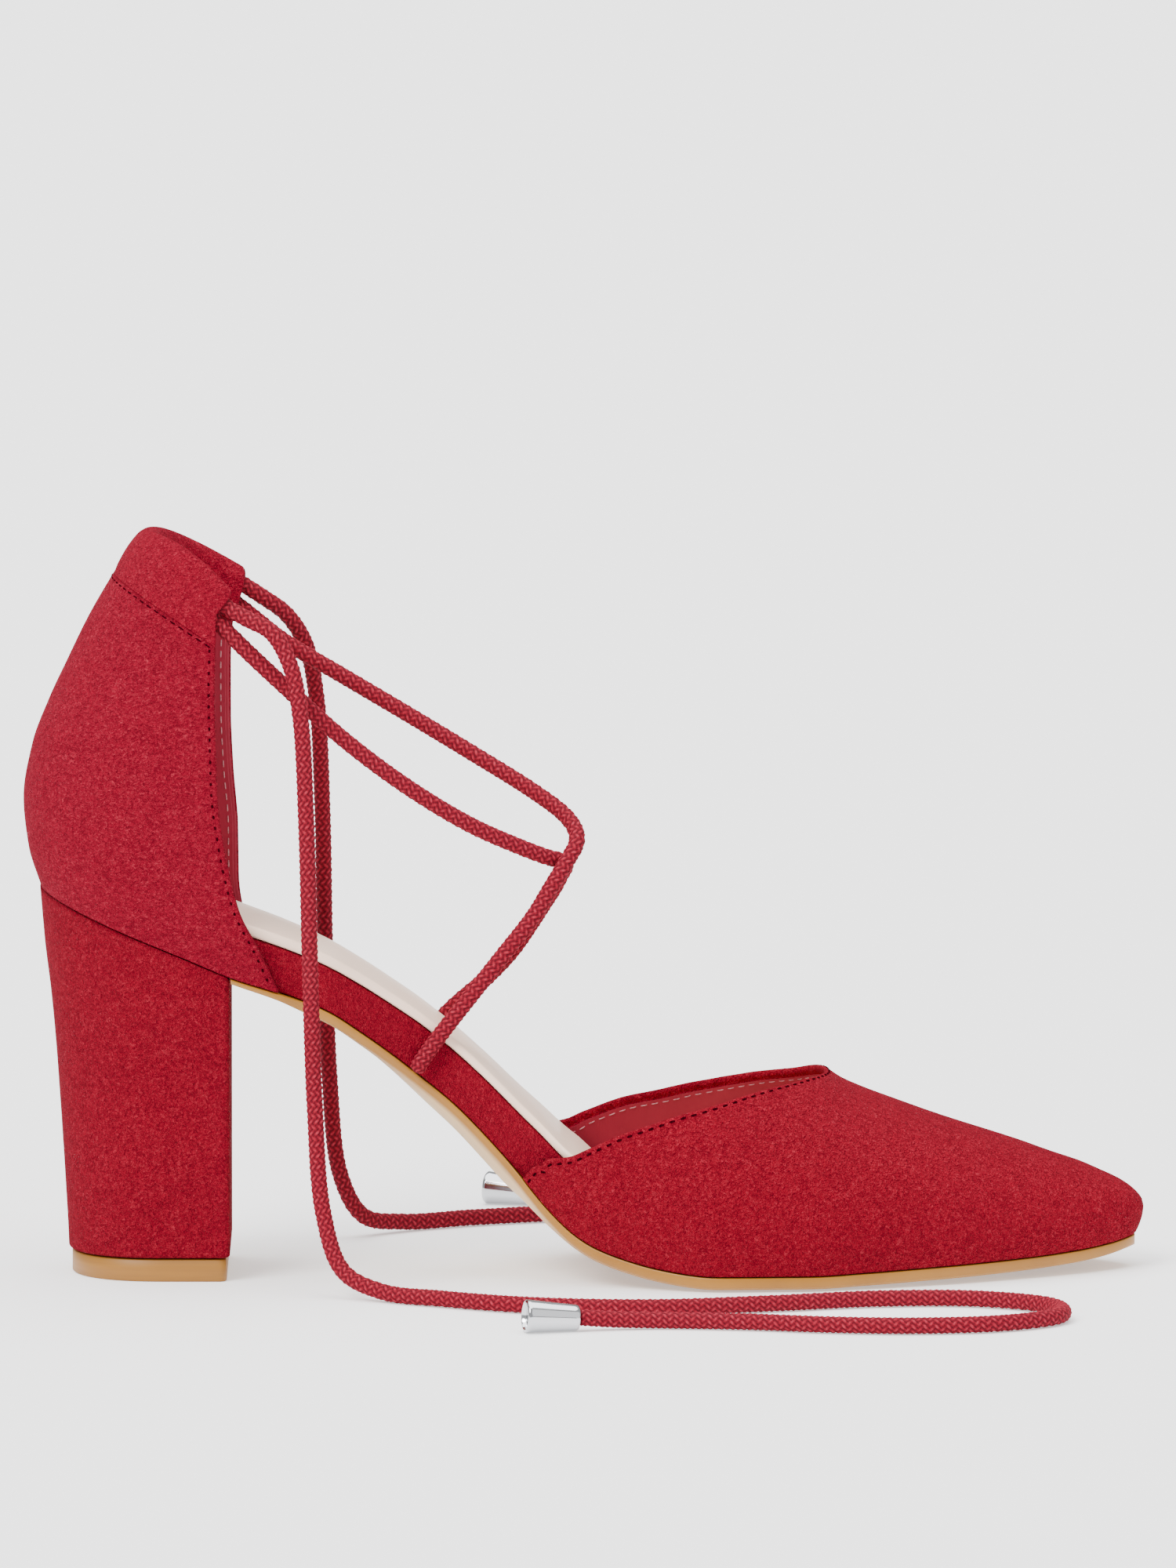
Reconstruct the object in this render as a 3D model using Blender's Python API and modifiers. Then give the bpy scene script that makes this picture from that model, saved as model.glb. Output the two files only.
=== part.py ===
"""Lace-up heel, a right shoe: pointed vamp and cupped counter with an open waist between them,
a covered block heel, and one cord that crosses the instep and ends in two free ties.

Metres. +X toe, +Y medial side, -Y lateral side, +Z up, z = 0 the floor. The origin is under the
middle of the shoe. Heights and widths run on from the feather line, the edge where upper meets sole.
"""

import math

import bmesh
import bpy
import numpy as np

# Whole shoe
SHOE_LENGTH = 0.2384
SEAT_HEIGHT = 0.0822
BALL_WIDTH = 0.076
SEAT_WIDTH = 0.052
GAP = 0.0003

# Sole
SOLE_THICKNESS = 0.0032
SOLE_SIDE = 0.0021
TREAD_BEVEL = 0.0006
WAIST_BEVEL = 0.0046
SOLE_EDGE_INSET = 0.0002
TOE_ROUND = 0.040
SEAT_ROUND = 0.024
FEATHER_BACK_INSET = 0.0037
FEATHER_TOE_INSET = 0.0016

# Insole
BOARD_THICKNESS = 0.0100
BOARD_EDGE_ROUND = 0.0009
BOARD_CANT = 0.030
SOCK_THICKNESS = 0.0024
SOCK_CROWN = 0.0007
SOCK_EDGE_ROUND = 0.0012
SOCK_INSET = 0.0002
TOE_CLEARANCE = 0.0018

# Heel
BREAST_STATION = 0.1845
BREAST_CORNER = 0.0016
HEEL_BASE_WIDTH = 0.0425
HEEL_BASE_ROUND = 0.020
HEEL_UNDERCUT = 0.0060
HEEL_BASE_EDGE = 0.0010
LIFT_THICKNESS = 0.0048
LIFT_INSET = 0.0007

# Vamp
VAMP_WALL = 0.0015
VAMP_RISE = 0.0402
SIDE_HEIGHT = 0.0075
SIDE_SWELL = 0.0019
NOSE_ROUND = 0.0080

# Counter
COUNTER_WALL = 0.0018
COUNTER_BACK_RISE = 0.0765
COUNTER_WING_RISE = 0.0855
CASING_SWELL = 0.0005
CASING_DEPTH = 0.0066
CASING_WALL = 0.0009

# Cord
CORD_DIAMETER = 0.0035
END_LENGTH = 0.0115
END_DIAMETER = 0.0070
END_NECK_DIAMETER = 0.0055

# Feather line and board from the back (station 0) to the toe (station 1), shares of SHOE_LENGTH.
# rise: shares of the height from the ball to the seat. board: shares of BOARD_THICKNESS, upright.
PROFILE_COLUMNS = ("station", "rise", "board")
PROFILE = (
    (0.000, 1.020, 0.90),
    (0.016, 1.000, 0.92),
    (0.081, 0.919, 0.95),
    (0.143, 0.842, 0.98),
    (0.185, 0.787, 0.97),
    (0.232, 0.738, 0.94),
    (0.272, 0.687, 0.92),
    (0.301, 0.630, 0.97),
    (0.329, 0.569, 1.02),
    (0.356, 0.505, 1.08),
    (0.384, 0.435, 1.10),
    (0.412, 0.351, 1.16),
    (0.440, 0.258, 1.24),
    (0.468, 0.160, 1.38),
    (0.491, 0.098, 1.36),
    (0.510, 0.065, 1.20),
    (0.538, 0.036, 0.88),
    (0.566, 0.016, 0.56),
    (0.594, 0.004, 0.37),
    (0.614, 0.000, 0.29),
    (0.710, 0.000, 0.25),
    (0.747, 0.003, 0.24),
    (0.818, 0.009, 0.24),
    (0.888, 0.015, 0.24),
    (0.941, 0.024, 0.24),
    (0.970, 0.034, 0.24),
    (1.000, 0.052, 0.24),
)

# Feather outline in plan. half and swing (to the medial side): shares of BALL_WIDTH.
# tuck: how far the sole draws in under the bare waist, a share of wall and gap together.
# sole: its thickness, shares of SOLE_THICKNESS, upright, so it is more where the waist is steep.
PLAN_COLUMNS = ("station", "half", "swing", "tuck", "sole")
PLAN = (
    (0.000, 0.336, 0.000, 0.0, 0.40),
    (0.080, 0.342, 0.000, 0.0, 0.40),
    (0.122, 0.342, 0.000, 0.0, 0.40),
    (0.185, 0.326, 0.000, 0.0, 0.40),
    (0.225, 0.306, 0.000, 0.0, 0.50),
    (0.255, 0.286, 0.000, 1.0, 0.85),
    (0.311, 0.261, -0.003, 1.0, 1.15),
    (0.374, 0.246, -0.010, 1.0, 1.80),
    (0.425, 0.268, -0.013, 1.0, 2.05),
    (0.450, 0.294, -0.012, 0.0, 1.65),
    (0.500, 0.375, -0.010, 0.0, 1.05),
    (0.563, 0.451, -0.005, 0.0, 1.00),
    (0.626, 0.500, 0.000, 0.0, 1.00),
    (0.689, 0.499, 0.010, 0.0, 1.00),
    (0.752, 0.458, 0.024, 0.0, 1.00),
    (0.815, 0.393, 0.038, 0.0, 1.00),
    (0.878, 0.318, 0.050, 0.0, 0.96),
    (0.941, 0.258, 0.060, 0.0, 0.88),
    (0.983, 0.224, 0.068, 0.0, 0.74),
    (1.000, 0.217, 0.071, 0.0, 0.62),
)

# Vamp sections. ridge: the top above the feather line, shares of VAMP_RISE, run on over the opening.
# side: height of the widest place, shares of SIDE_HEIGHT. power: 2 is an ellipse, more is fuller.
VAMP_COLUMNS = ("station", "ridge", "side", "power")
VAMP_SECTIONS = (
    (0.440, 1.34, 1.08, 1.95),
    (0.500, 1.48, 1.06, 1.95),
    (0.570, 1.375, 1.02, 2.00),
    (0.640, 1.185, 1.00, 2.05),
    (0.685, 1.060, 1.00, 2.08),
    (0.715, 0.977, 1.00, 2.10),
    (0.730, 0.917, 1.00, 2.10),
    (0.748, 0.865, 1.00, 2.10),
    (0.776, 0.797, 0.98, 2.10),
    (0.818, 0.700, 0.95, 2.08),
    (0.888, 0.555, 0.88, 2.04),
    (0.916, 0.488, 0.85, 2.02),
    (0.944, 0.421, 0.81, 2.00),
    (0.972, 0.330, 0.77, 2.00),
    (0.986, 0.292, 0.74, 2.00),
    (1.000, 0.252, 0.72, 2.00),
)

# Edge of the vamp's opening. height: -1 feather line, 0 widest place, 1 ridge. Stations by side.
TOPLINE_COLUMNS = ("height", "lateral", "medial")
TOPLINE = (
    (-1.00, 0.444, 0.439),
    (0.00, 0.468, 0.458),
    (0.20, 0.504, 0.490),
    (0.35, 0.540, 0.527),
    (0.50, 0.580, 0.579),
    (0.70, 0.640, 0.646),
    (0.85, 0.677, 0.688),
    (1.00, 0.716, 0.716),
)

# Counter by level, 0 the feather line, 1 the rim. back, lateral, medial: stations of the back and of
# the two wings' front edges. back_rise, wing_rise: shares of COUNTER_BACK_RISE and COUNTER_WING_RISE.
# half: shares of SEAT_WIDTH. round: shares of SEAT_ROUND. follow: how far the level keeps to the
# seat's plan and curve. An arch of 1 runs straight from back to wing, more stays high, then drops.
COUNTER_COLUMNS = (
    "level", "back", "lateral", "medial", "back_rise", "wing_rise", "half", "round", "follow",
    "lateral_arch", "medial_arch",
)
COUNTER_LEVELS = (
    (0.000, 0.0155, 0.229, 0.223, 0.000, 0.000, 0.500, 1.00, 1.00, 1.0, 1.0),
    (0.115, 0.0042, 0.213, 0.198, 0.115, 0.103, 0.531, 1.08, 0.85, 1.0, 1.0),
    (0.240, 0.0000, 0.194, 0.191, 0.246, 0.214, 0.550, 1.17, 0.60, 1.0, 1.0),
    (0.385, 0.0078, 0.182, 0.190, 0.394, 0.355, 0.550, 1.17, 0.35, 1.0, 1.0),
    (0.510, 0.0226, 0.175, 0.186, 0.518, 0.495, 0.535, 1.12, 0.15, 1.0, 1.0),
    (0.630, 0.0395, 0.171, 0.184, 0.631, 0.629, 0.512, 1.08, 0.00, 1.0, 1.0),
    (0.750, 0.0586, 0.169, 0.184, 0.753, 0.752, 0.488, 1.04, 0.00, 1.0, 1.0),
    (0.870, 0.0800, 0.170, 0.186, 0.868, 0.860, 0.469, 0.96, 0.00, 1.1, 1.0),
    (1.000, 0.1090, 0.186, 0.200, 1.010, 0.996, 0.450, 0.88, 0.00, 1.6, 1.05),
)
CASING_LEVEL = 0.870

# Section of the counter's casing: level between the seam (0) and the rim (1), and depth from the
# outside of its swell (0) to its inner face (1).
CASING_PROFILE = (
    (0.05, 0.16),
    (0.22, 0.03),
    (0.50, 0.00),
    (0.78, 0.05),
    (0.94, 0.22),
    (1.00, 0.47),
    (0.95, 0.75),
    (0.80, 0.95),
    (0.50, 1.00),
    (0.22, 0.95),
    (0.05, 0.72),
)
TUNNEL_LEVELS = (0.14, 0.955)

# Block heel from its base (0) to its top (1). spread: 0 is the base's outline, 1 the seat's.
HEEL_PROFILE = (
    (0.00, 0.00),
    (0.06, 0.03),
    (0.19, 0.12),
    (0.32, 0.22),
    (0.45, 0.33),
    (0.58, 0.45),
    (0.72, 0.62),
    (0.85, 0.83),
    (1.00, 1.00),
)

# The cord's routes through their own chosen points, in metres.
FROM_MEDIAL_MOUTH = (
    (-0.0813, 0.0207, 0.1440),
    (-0.0778, 0.0210, 0.1421),
    (-0.0741, 0.0209, 0.1401),
    (-0.0700, 0.0209, 0.1369),
    (-0.0642, 0.0203, 0.1324),
    (-0.0508, 0.0184, 0.1246),
    (-0.0375, 0.0158, 0.1170),
    (-0.0242, 0.0118, 0.1094),
    (-0.0108, 0.0060, 0.1017),
    (-0.0042, 0.0018, 0.0972),
    (-0.0018, -0.0020, 0.0942),
    (-0.0017, -0.0048, 0.0918),
    (-0.0038, -0.0074, 0.0882),
    (-0.0072, -0.0104, 0.0829),
    (-0.0108, -0.0132, 0.0773),
    (-0.0175, -0.0167, 0.0691),
    (-0.0242, -0.0186, 0.0608),
    (-0.0305, -0.0193, 0.0528),
    (-0.0342, -0.0195, 0.0476),
    (-0.0358, -0.0197, 0.0448),
)
FROM_LATERAL_MOUTH = (
    (-0.0836, -0.0197, 0.1457),
    (-0.0805, -0.0207, 0.1433),
    (-0.0773, -0.0211, 0.1407),
    (-0.0742, -0.0214, 0.1377),
    (-0.0708, -0.0216, 0.1344),
    (-0.0642, -0.0217, 0.1282),
    (-0.0508, -0.0211, 0.1160),
    (-0.0375, -0.0188, 0.1057),
    (-0.0242, -0.0148, 0.0971),
    (-0.0140, -0.0106, 0.0920),
    (-0.0080, -0.0073, 0.0893),
    (-0.0045, -0.0040, 0.0879),
    (-0.0040, -0.0008, 0.0865),
    (-0.0049, 0.0028, 0.0843),
    (-0.0064, 0.0060, 0.0810),
    (-0.0086, 0.0090, 0.0772),
    (-0.0112, 0.0116, 0.0728),
    (-0.0155, 0.0143, 0.0663),
    (-0.0210, 0.0165, 0.0602),
    (-0.0275, 0.0179, 0.0544),
    (-0.0330, 0.0182, 0.0487),
    (-0.0352, 0.0185, 0.0457),
)
LATERAL_TIE = (
    (-0.0817, -0.0193, 0.1494),
    (-0.0788, -0.0203, 0.1471),
    (-0.0758, -0.0208, 0.1443),
    (-0.0715, -0.0217, 0.1419),
    (-0.0662, -0.0238, 0.1392),
    (-0.0622, -0.0262, 0.1325),
    (-0.0600, -0.0290, 0.1215),
    (-0.0588, -0.0322, 0.1000),
    (-0.0580, -0.0348, 0.0700),
    (-0.0570, -0.0372, 0.0400),
    (-0.0552, -0.0402, 0.0175),
    (-0.0512, -0.0445, 0.0060),
    (-0.0430, -0.0508, 0.0023),
    (-0.0300, -0.0590, 0.0019),
    (-0.0100, -0.0690, 0.0019),
    (0.0150, -0.0720, 0.0019),
    (0.0400, -0.0660, 0.0019),
    (0.0620, -0.0590, 0.0019),
    (0.0830, -0.0590, 0.0019),
    (0.0980, -0.0690, 0.0019),
    (0.1000, -0.0840, 0.0019),
    (0.0880, -0.0955, 0.0019),
    (0.0700, -0.0995, 0.0019),
    (0.0520, -0.0980, 0.0019),
    (0.0340, -0.0935, 0.0019),
    (0.0170, -0.0915, 0.0019),
    (0.0070, -0.0925, 0.0022),
    (-0.0010, -0.0945, 0.0029),
)
MEDIAL_TIE = (
    (-0.0794, 0.0202, 0.1483),
    (-0.0760, 0.0206, 0.1463),
    (-0.0725, 0.0209, 0.1442),
    (-0.0685, 0.0219, 0.1415),
    (-0.0635, 0.0243, 0.1375),
    (-0.0595, 0.0270, 0.1308),
    (-0.0572, 0.0302, 0.1190),
    (-0.0560, 0.0340, 0.0950),
    (-0.0555, 0.0372, 0.0650),
    (-0.0546, 0.0403, 0.0360),
    (-0.0524, 0.0440, 0.0145),
    (-0.0475, 0.0495, 0.0046),
    (-0.0390, 0.0570, 0.0022),
    (-0.0240, 0.0660, 0.0019),
    (-0.0040, 0.0730, 0.0019),
    (0.0200, 0.0750, 0.0019),
    (0.0440, 0.0700, 0.0019),
    (0.0650, 0.0660, 0.0019),
    (0.0850, 0.0700, 0.0019),
    (0.0960, 0.0810, 0.0019),
    (0.0930, 0.0940, 0.0019),
    (0.0790, 0.1010, 0.0019),
    (0.0600, 0.1020, 0.0019),
    (0.0420, 0.0990, 0.0019),
    (0.0240, 0.0950, 0.0019),
    (0.0080, 0.0940, 0.0019),
    (-0.0020, 0.0955, 0.0022),
    (-0.0100, 0.0980, 0.0029),
)
ROUTE_SPACING = 0.0085
LACING_SPACING = 0.0050
LAYER_STATIONS = 39


def smooth_curve(xs, ys):
    """A curve through every point with no overshoot between them (monotone cubic)."""
    xs = np.asarray(xs, float)
    ys = np.asarray(ys, float)
    step = np.diff(xs)
    slope = np.diff(ys) / step
    both = slope[1:] * slope[:-1]
    turns = both <= 0
    tangent = np.concatenate([[slope[0]], np.zeros(len(slope) - 1), [slope[-1]]])
    tangent[1:-1] = np.where(turns, 0.0, 2 * both / np.where(turns, 1.0, slope[1:] + slope[:-1]))

    def value(x):
        x = np.clip(x, xs[0], xs[-1])
        k = np.clip(np.searchsorted(xs, x) - 1, 0, len(step) - 1)
        t = (x - xs[k]) / step[k]
        rise = step[k] * (t * (1 - t) ** 2 * tangent[k] - t**2 * (1 - t) * tangent[k + 1])
        return ys[k] * (1 + 2 * t) * (1 - t) ** 2 + ys[k + 1] * t**2 * (3 - 2 * t) + rise

    return value


def table_curves(columns, rows):
    """The columns of a table as smooth curves of its first column, by name."""
    data = np.array(rows)
    return {name: smooth_curve(data[:, 0], data[:, i + 1]) for i, name in enumerate(columns[1:])}


profile = table_curves(PROFILE_COLUMNS, PROFILE)
plan = table_curves(PLAN_COLUMNS, PLAN)
vamp_section = table_curves(VAMP_COLUMNS, VAMP_SECTIONS)
topline = table_curves(TOPLINE_COLUMNS, TOPLINE)
counter_level = table_curves(COUNTER_COLUMNS, COUNTER_LEVELS)

BACK_X = -SHOE_LENGTH / 2
TOE_X = SHOE_LENGTH / 2
FEATHER_BACK = BACK_X + FEATHER_BACK_INSET
FEATHER_TOE = TOE_X - FEATHER_TOE_INSET
BREAST_X = BACK_X + BREAST_STATION * SHOE_LENGTH


def station(x):
    return (np.asarray(x, float) - BACK_X) / SHOE_LENGTH


def at_station(share):
    return BACK_X + SHOE_LENGTH * share


def feather(x):
    """Height of the feather line."""
    return SOLE_THICKNESS + (SEAT_HEIGHT - SOLE_THICKNESS) * profile["rise"](station(x))


def swing(x):
    """Where the shoe's middle line lies, to the medial side."""
    return BALL_WIDTH * plan["swing"](station(x))


def round_end(distance, length, power=2.0):
    """0 at the end of a piece, 1 from its rounding's length on, along a superellipse."""
    left = np.clip(1 - np.maximum(distance, 0) / length, 0, 1)
    return (1 - left**power) ** (1 / power)


def plan_half(x, inset=0.0):
    """Half the feather outline's width, or of one that lies inset within it all round."""
    back = round_end(x - FEATHER_BACK - inset, SEAT_ROUND)
    toe = round_end(FEATHER_TOE - inset - x, TOE_ROUND)
    return (BALL_WIDTH * plan["half"](station(x)) - inset) * back * toe


def stations_between(start, end, count):
    """Places along X, close together at both ends."""
    turn = np.linspace(0, math.pi, count)
    return start + (end - start) * (1 - np.cos(turn)) / 2


def layer_stations(start, end):
    """Places along X that every flat layer shares, with closer ones of its own at its ends."""
    shared = np.linspace(FEATHER_BACK, FEATHER_TOE, LAYER_STATIONS)
    near_end = np.array([0.0, 0.0005, 0.0018])
    inside = shared[(shared > start + 0.004) & (shared < end - 0.004)]
    return np.concatenate([start + near_end, inside, (end - near_end)[::-1]])


def mesh_object(name, vertices, faces, collection):
    """A closed mesh with its doubles welded and its faces turned outward."""
    mesh = bpy.data.meshes.new(name)
    mesh.from_pydata([tuple(v) for v in vertices], [], faces)
    body = bmesh.new()
    body.from_mesh(mesh)
    bmesh.ops.remove_doubles(body, verts=body.verts, dist=0.00002)
    bmesh.ops.dissolve_degenerate(body, edges=body.edges, dist=0.00001)
    bmesh.ops.triangulate(body, faces=[f for f in body.faces if len(f.verts) > 4], ngon_method="EAR_CLIP")
    bmesh.ops.recalc_face_normals(body, faces=body.faces)
    body.to_mesh(mesh)
    body.free()
    thing = bpy.data.objects.new(name, mesh)
    collection.objects.link(thing)
    return thing


def loft(name, rings, collection, paired=0):
    """A closed solid through rings of as many points each, closed at either end.

    paired: steps from a ring's ends inward over which its two sides are joined by quads there.
    """
    rings = np.asarray(rings)
    count, around = rings.shape[:2]
    faces = []
    for i in range(count - 1):
        for j in range(around):
            k = (j + 1) % around
            faces.append((i * around + j, i * around + k, (i + 1) * around + k, (i + 1) * around + j))
    for first in (0, (count - 1) * around):
        for j in range(paired):
            faces.append(tuple(first + k for k in (j, j + 1, around - 2 - j, around - 1 - j)))
        faces.append(tuple(range(first + paired, first + around - paired)))
    return mesh_object(name, rings.reshape(-1, 3), faces, collection)


def finish(thing, colour, roughness, metallic=0.0):
    """The object's own material, smooth faces and crisp edges."""
    material = bpy.data.materials.new(thing.name)
    material.use_nodes = True
    shader = material.node_tree.nodes["Principled BSDF"]
    shader.inputs["Base Color"].default_value = (*colour, 1)
    shader.inputs["Roughness"].default_value = roughness
    shader.inputs["Metallic"].default_value = metallic
    thing.data.materials.append(material)
    if thing.type == "MESH":
        thing.data.shade_smooth()
        thing.data.set_sharp_from_angle(angle=math.radians(40))
    return thing


def make_outsole(collection):
    """Flat on top, crowned underneath so that its middle treads, with a wide bevel at the waist."""
    rings = []
    for x in layer_stations(BREAST_X + GAP, FEATHER_TOE - GAP):
        tuck = plan["tuck"](station(x))
        inset = SOLE_EDGE_INSET + (COUNTER_WALL + GAP - SOLE_EDGE_INSET) * tuck
        half = max(plan_half(x) - inset, 0.0004)
        top = feather(x)
        thickness = SOLE_THICKNESS * plan["sole"](station(x))
        edge = top - min(SOLE_SIDE, 0.8 * thickness)
        low = top - thickness
        waist = np.clip(thickness / SOLE_THICKNESS - 1, 0, 1)
        bevel = min(TREAD_BEVEL + (WAIST_BEVEL - TREAD_BEVEL) * waist, half * 0.3)
        turn = edge - (0.35 + 0.5 * waist) * (edge - low)
        right = [(half, top), (half, edge), (half - bevel, turn), (0.60 * half, low)]
        ring = right + [(-y, z) for y, z in reversed(right)]
        rings.append([(x, swing(x) + y, z) for y, z in ring])
    return finish(loft("outsole", rings, collection), (0.53, 0.30, 0.11), 0.45)


def board_top(x, across):
    """Top of the board, canted to the medial side. across: -1 its lateral edge, 1 its medial edge."""
    cant = BOARD_CANT * plan_half(x, COUNTER_WALL + GAP) * (1 + across)
    return feather(x) + GAP + BOARD_THICKNESS * profile["board"](station(x)) - cant


def sock_top(x, across):
    """Top of the padded layer on the board, highest along its middle."""
    return board_top(x, across) + GAP + SOCK_THICKNESS + SOCK_CROWN * (1 - across**2)


def slab(name, low, high, inset, edge, middle, collection):
    """A layer within the feather outline, between two surfaces, with rounded long edges.

    middle: shares of the half width where its top takes more points.
    """
    rings = []
    start = FEATHER_BACK + inset + GAP
    end = FEATHER_TOE - inset - TOE_CLEARANCE
    for x in layer_stations(start, end):
        half = max(plan_half(x, inset), 0.0012)
        soft = min(edge, half * 0.3)
        side = []
        for way in (1, -1):
            bottom, top = low(x, way), high(x, way)
            points = [(way * half * share, high(x, way * share)) for share in middle]
            points += [(way * (half - soft), top), (way * (half - 0.3 * soft), top - 0.3 * soft)]
            points += [(way * half, top - soft), (way * half, bottom + 0.4 * soft)]
            points.append((way * (half - 0.4 * soft), bottom))
            side.append(points)
        ring = side[0] + side[1][::-1]
        rings.append([(x, swing(x) + y, z) for y, z in ring])
    return loft(name, rings, collection)


def make_board(collection):
    """Covered board inside counter and vamp, its edge bare between them."""
    inset = COUNTER_WALL + GAP
    board = slab(
        "insole_board", lambda x, across: feather(x) + GAP, board_top, inset, BOARD_EDGE_ROUND, (), collection
    )
    return finish(board, (0.37, 0.02, 0.03), 0.9)


def make_sock(collection):
    """Thin padded layer on the board."""
    sock = slab(
        "insole_sock",
        lambda x, across: board_top(x, across) + GAP,
        sock_top,
        COUNTER_WALL + GAP + SOCK_INSET,
        SOCK_EDGE_ROUND,
        (0.35,),
        collection,
    )
    return finish(sock, (0.86, 0.77, 0.70), 0.5)


def heel_outline(spread, inset=0.0, points=13):
    """D-shaped ring in plan, from the base's outline (spread 0) to the seat's (spread 1)."""
    seat_back = FEATHER_BACK - SOLE_EDGE_INSET
    back = seat_back + HEEL_UNDERCUT * (1 - spread) + inset
    breast = BREAST_X - inset
    x = stations_between(back, breast - BREAST_CORNER, 60)
    base = HEEL_BASE_WIDTH / 2 * round_end(x - back, HEEL_BASE_ROUND, 2.3)
    seat = (BALL_WIDTH * plan["half"](station(x)) - SOLE_EDGE_INSET) * round_end(x - back, SEAT_ROUND)
    half = base + (seat - base) * spread - inset * (x > back)
    half = np.maximum(half, 0)
    turn = np.linspace(0, math.pi / 2, 5)[1:]
    corner = np.stack(
        [
            breast - BREAST_CORNER + BREAST_CORNER * np.sin(turn),
            half[-1] - BREAST_CORNER + BREAST_CORNER * np.cos(turn),
        ],
        1,
    )
    curve = np.stack([x, half], 1)
    along = np.concatenate([[0], np.cumsum(np.linalg.norm(np.diff(curve, axis=0), axis=1))])
    even = np.linspace(0, along[-1], points)
    curve = np.stack([np.interp(even, along, curve[:, 0]), np.interp(even, along, curve[:, 1])], 1)
    right = np.concatenate([curve, corner])
    left = right[:0:-1] * (1, -1)
    return np.concatenate([right, left])


def make_heel(collection):
    """Block heel, narrower at its base, its top cut to the seat."""
    spread = smooth_curve(*zip(*HEEL_PROFILE))
    base = LIFT_THICKNESS + GAP
    rings = []
    for share, inset in [(0.0, HEEL_BASE_EDGE), (HEEL_BASE_EDGE / (SEAT_HEIGHT - base), 0.0)] + [
        (row[0], 0.0) for row in HEEL_PROFILE[1:]
    ]:
        ring = heel_outline(spread(share), inset)
        z = base + (feather(ring[:, 0]) - base) * share
        rings.append(np.column_stack([ring, z]))
    return finish(loft("heel_block", rings, collection), (0.37, 0.02, 0.03), 0.9)


def make_lift(collection):
    """Flat top piece that the heel stands on."""
    ring = heel_outline(0.0, LIFT_INSET)
    rings = [np.column_stack([ring, np.full(len(ring), z)]) for z in (0.0, LIFT_THICKNESS)]
    return finish(loft("heel_top_lift", rings, collection), (0.46, 0.26, 0.10), 0.5)


def vamp_point(height, side, along, inset):
    """The vamp's own surface, or one that lies inset within it.

    height: -1 feather line, 0 widest place, 1 ridge. side: -1 lateral, 1 medial.
    along: 0 edge of the opening, 1 toe.
    """
    low = np.clip(-height, 0, 1)
    high = np.clip(height, 0, 1)
    edge = np.where(side < 0, topline["lateral"](height), topline["medial"](height))
    toe = TOE_X - FEATHER_TOE_INSET * low**2 - inset
    start = at_station(edge)
    x = start + (toe - start) * along
    power = vamp_section["power"](station(x))
    widest = SIDE_HEIGHT * vamp_section["side"](station(x))
    ridge = VAMP_RISE * vamp_section["ridge"](station(x))
    taper = round_end(toe - x, TOE_ROUND)
    half = BALL_WIDTH * plan["half"](station(x)) + SIDE_SWELL - inset
    across = (1 - high**power) ** (1 / power) - low**2 * SIDE_SWELL / half
    foot = feather(x) + GAP
    lift = (ridge - widest - inset) * round_end(toe - x, NOSE_ROUND) * high
    z = foot + widest * (1 - low) + lift
    return np.stack([x, swing(x) + side * half * taper * across, z], -1)


def make_vamp(collection):
    """Hollow toe piece: the surface and one a wall inside it, joined round their edges."""
    below = [-1.0, -0.5]
    turn = np.linspace(0, math.pi / 2, 12)
    rows = np.array(below + list(np.sin(turn)))
    heights = np.concatenate([rows, rows[-2::-1]])
    sides = np.concatenate([-np.ones(len(rows)), np.ones(len(rows) - 1)])
    step = np.linspace(0, 1, 24)
    along = 0.6 * step + 0.4 * (1 - (1 - step) ** 2.2)
    height, run = np.meshgrid(heights, along, indexing="ij")
    side = np.repeat(sides[:, None], len(along), axis=1)
    outer = vamp_point(height, side, run, 0.0)
    inner = vamp_point(height, side, run, VAMP_WALL)
    count, length = height.shape
    vertices = np.concatenate([outer.reshape(-1, 3), inner.reshape(-1, 3)])
    shift = count * length
    faces = []
    for i in range(count - 1):
        for j in range(length - 1):
            a, b = i * length + j, (i + 1) * length + j
            faces.append((a, b, b + 1, a + 1))
            faces.append((shift + a, shift + a + 1, shift + b + 1, shift + b))
        faces.append((i * length, shift + i * length, shift + (i + 1) * length, (i + 1) * length))
    for i in (0, count - 1):
        for j in range(length - 1):
            a = i * length + j
            faces.append((a, a + 1, shift + a + 1, shift + a))
    return finish(mesh_object("vamp", vertices, faces, collection), (0.40, 0.02, 0.035), 0.9)


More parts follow.
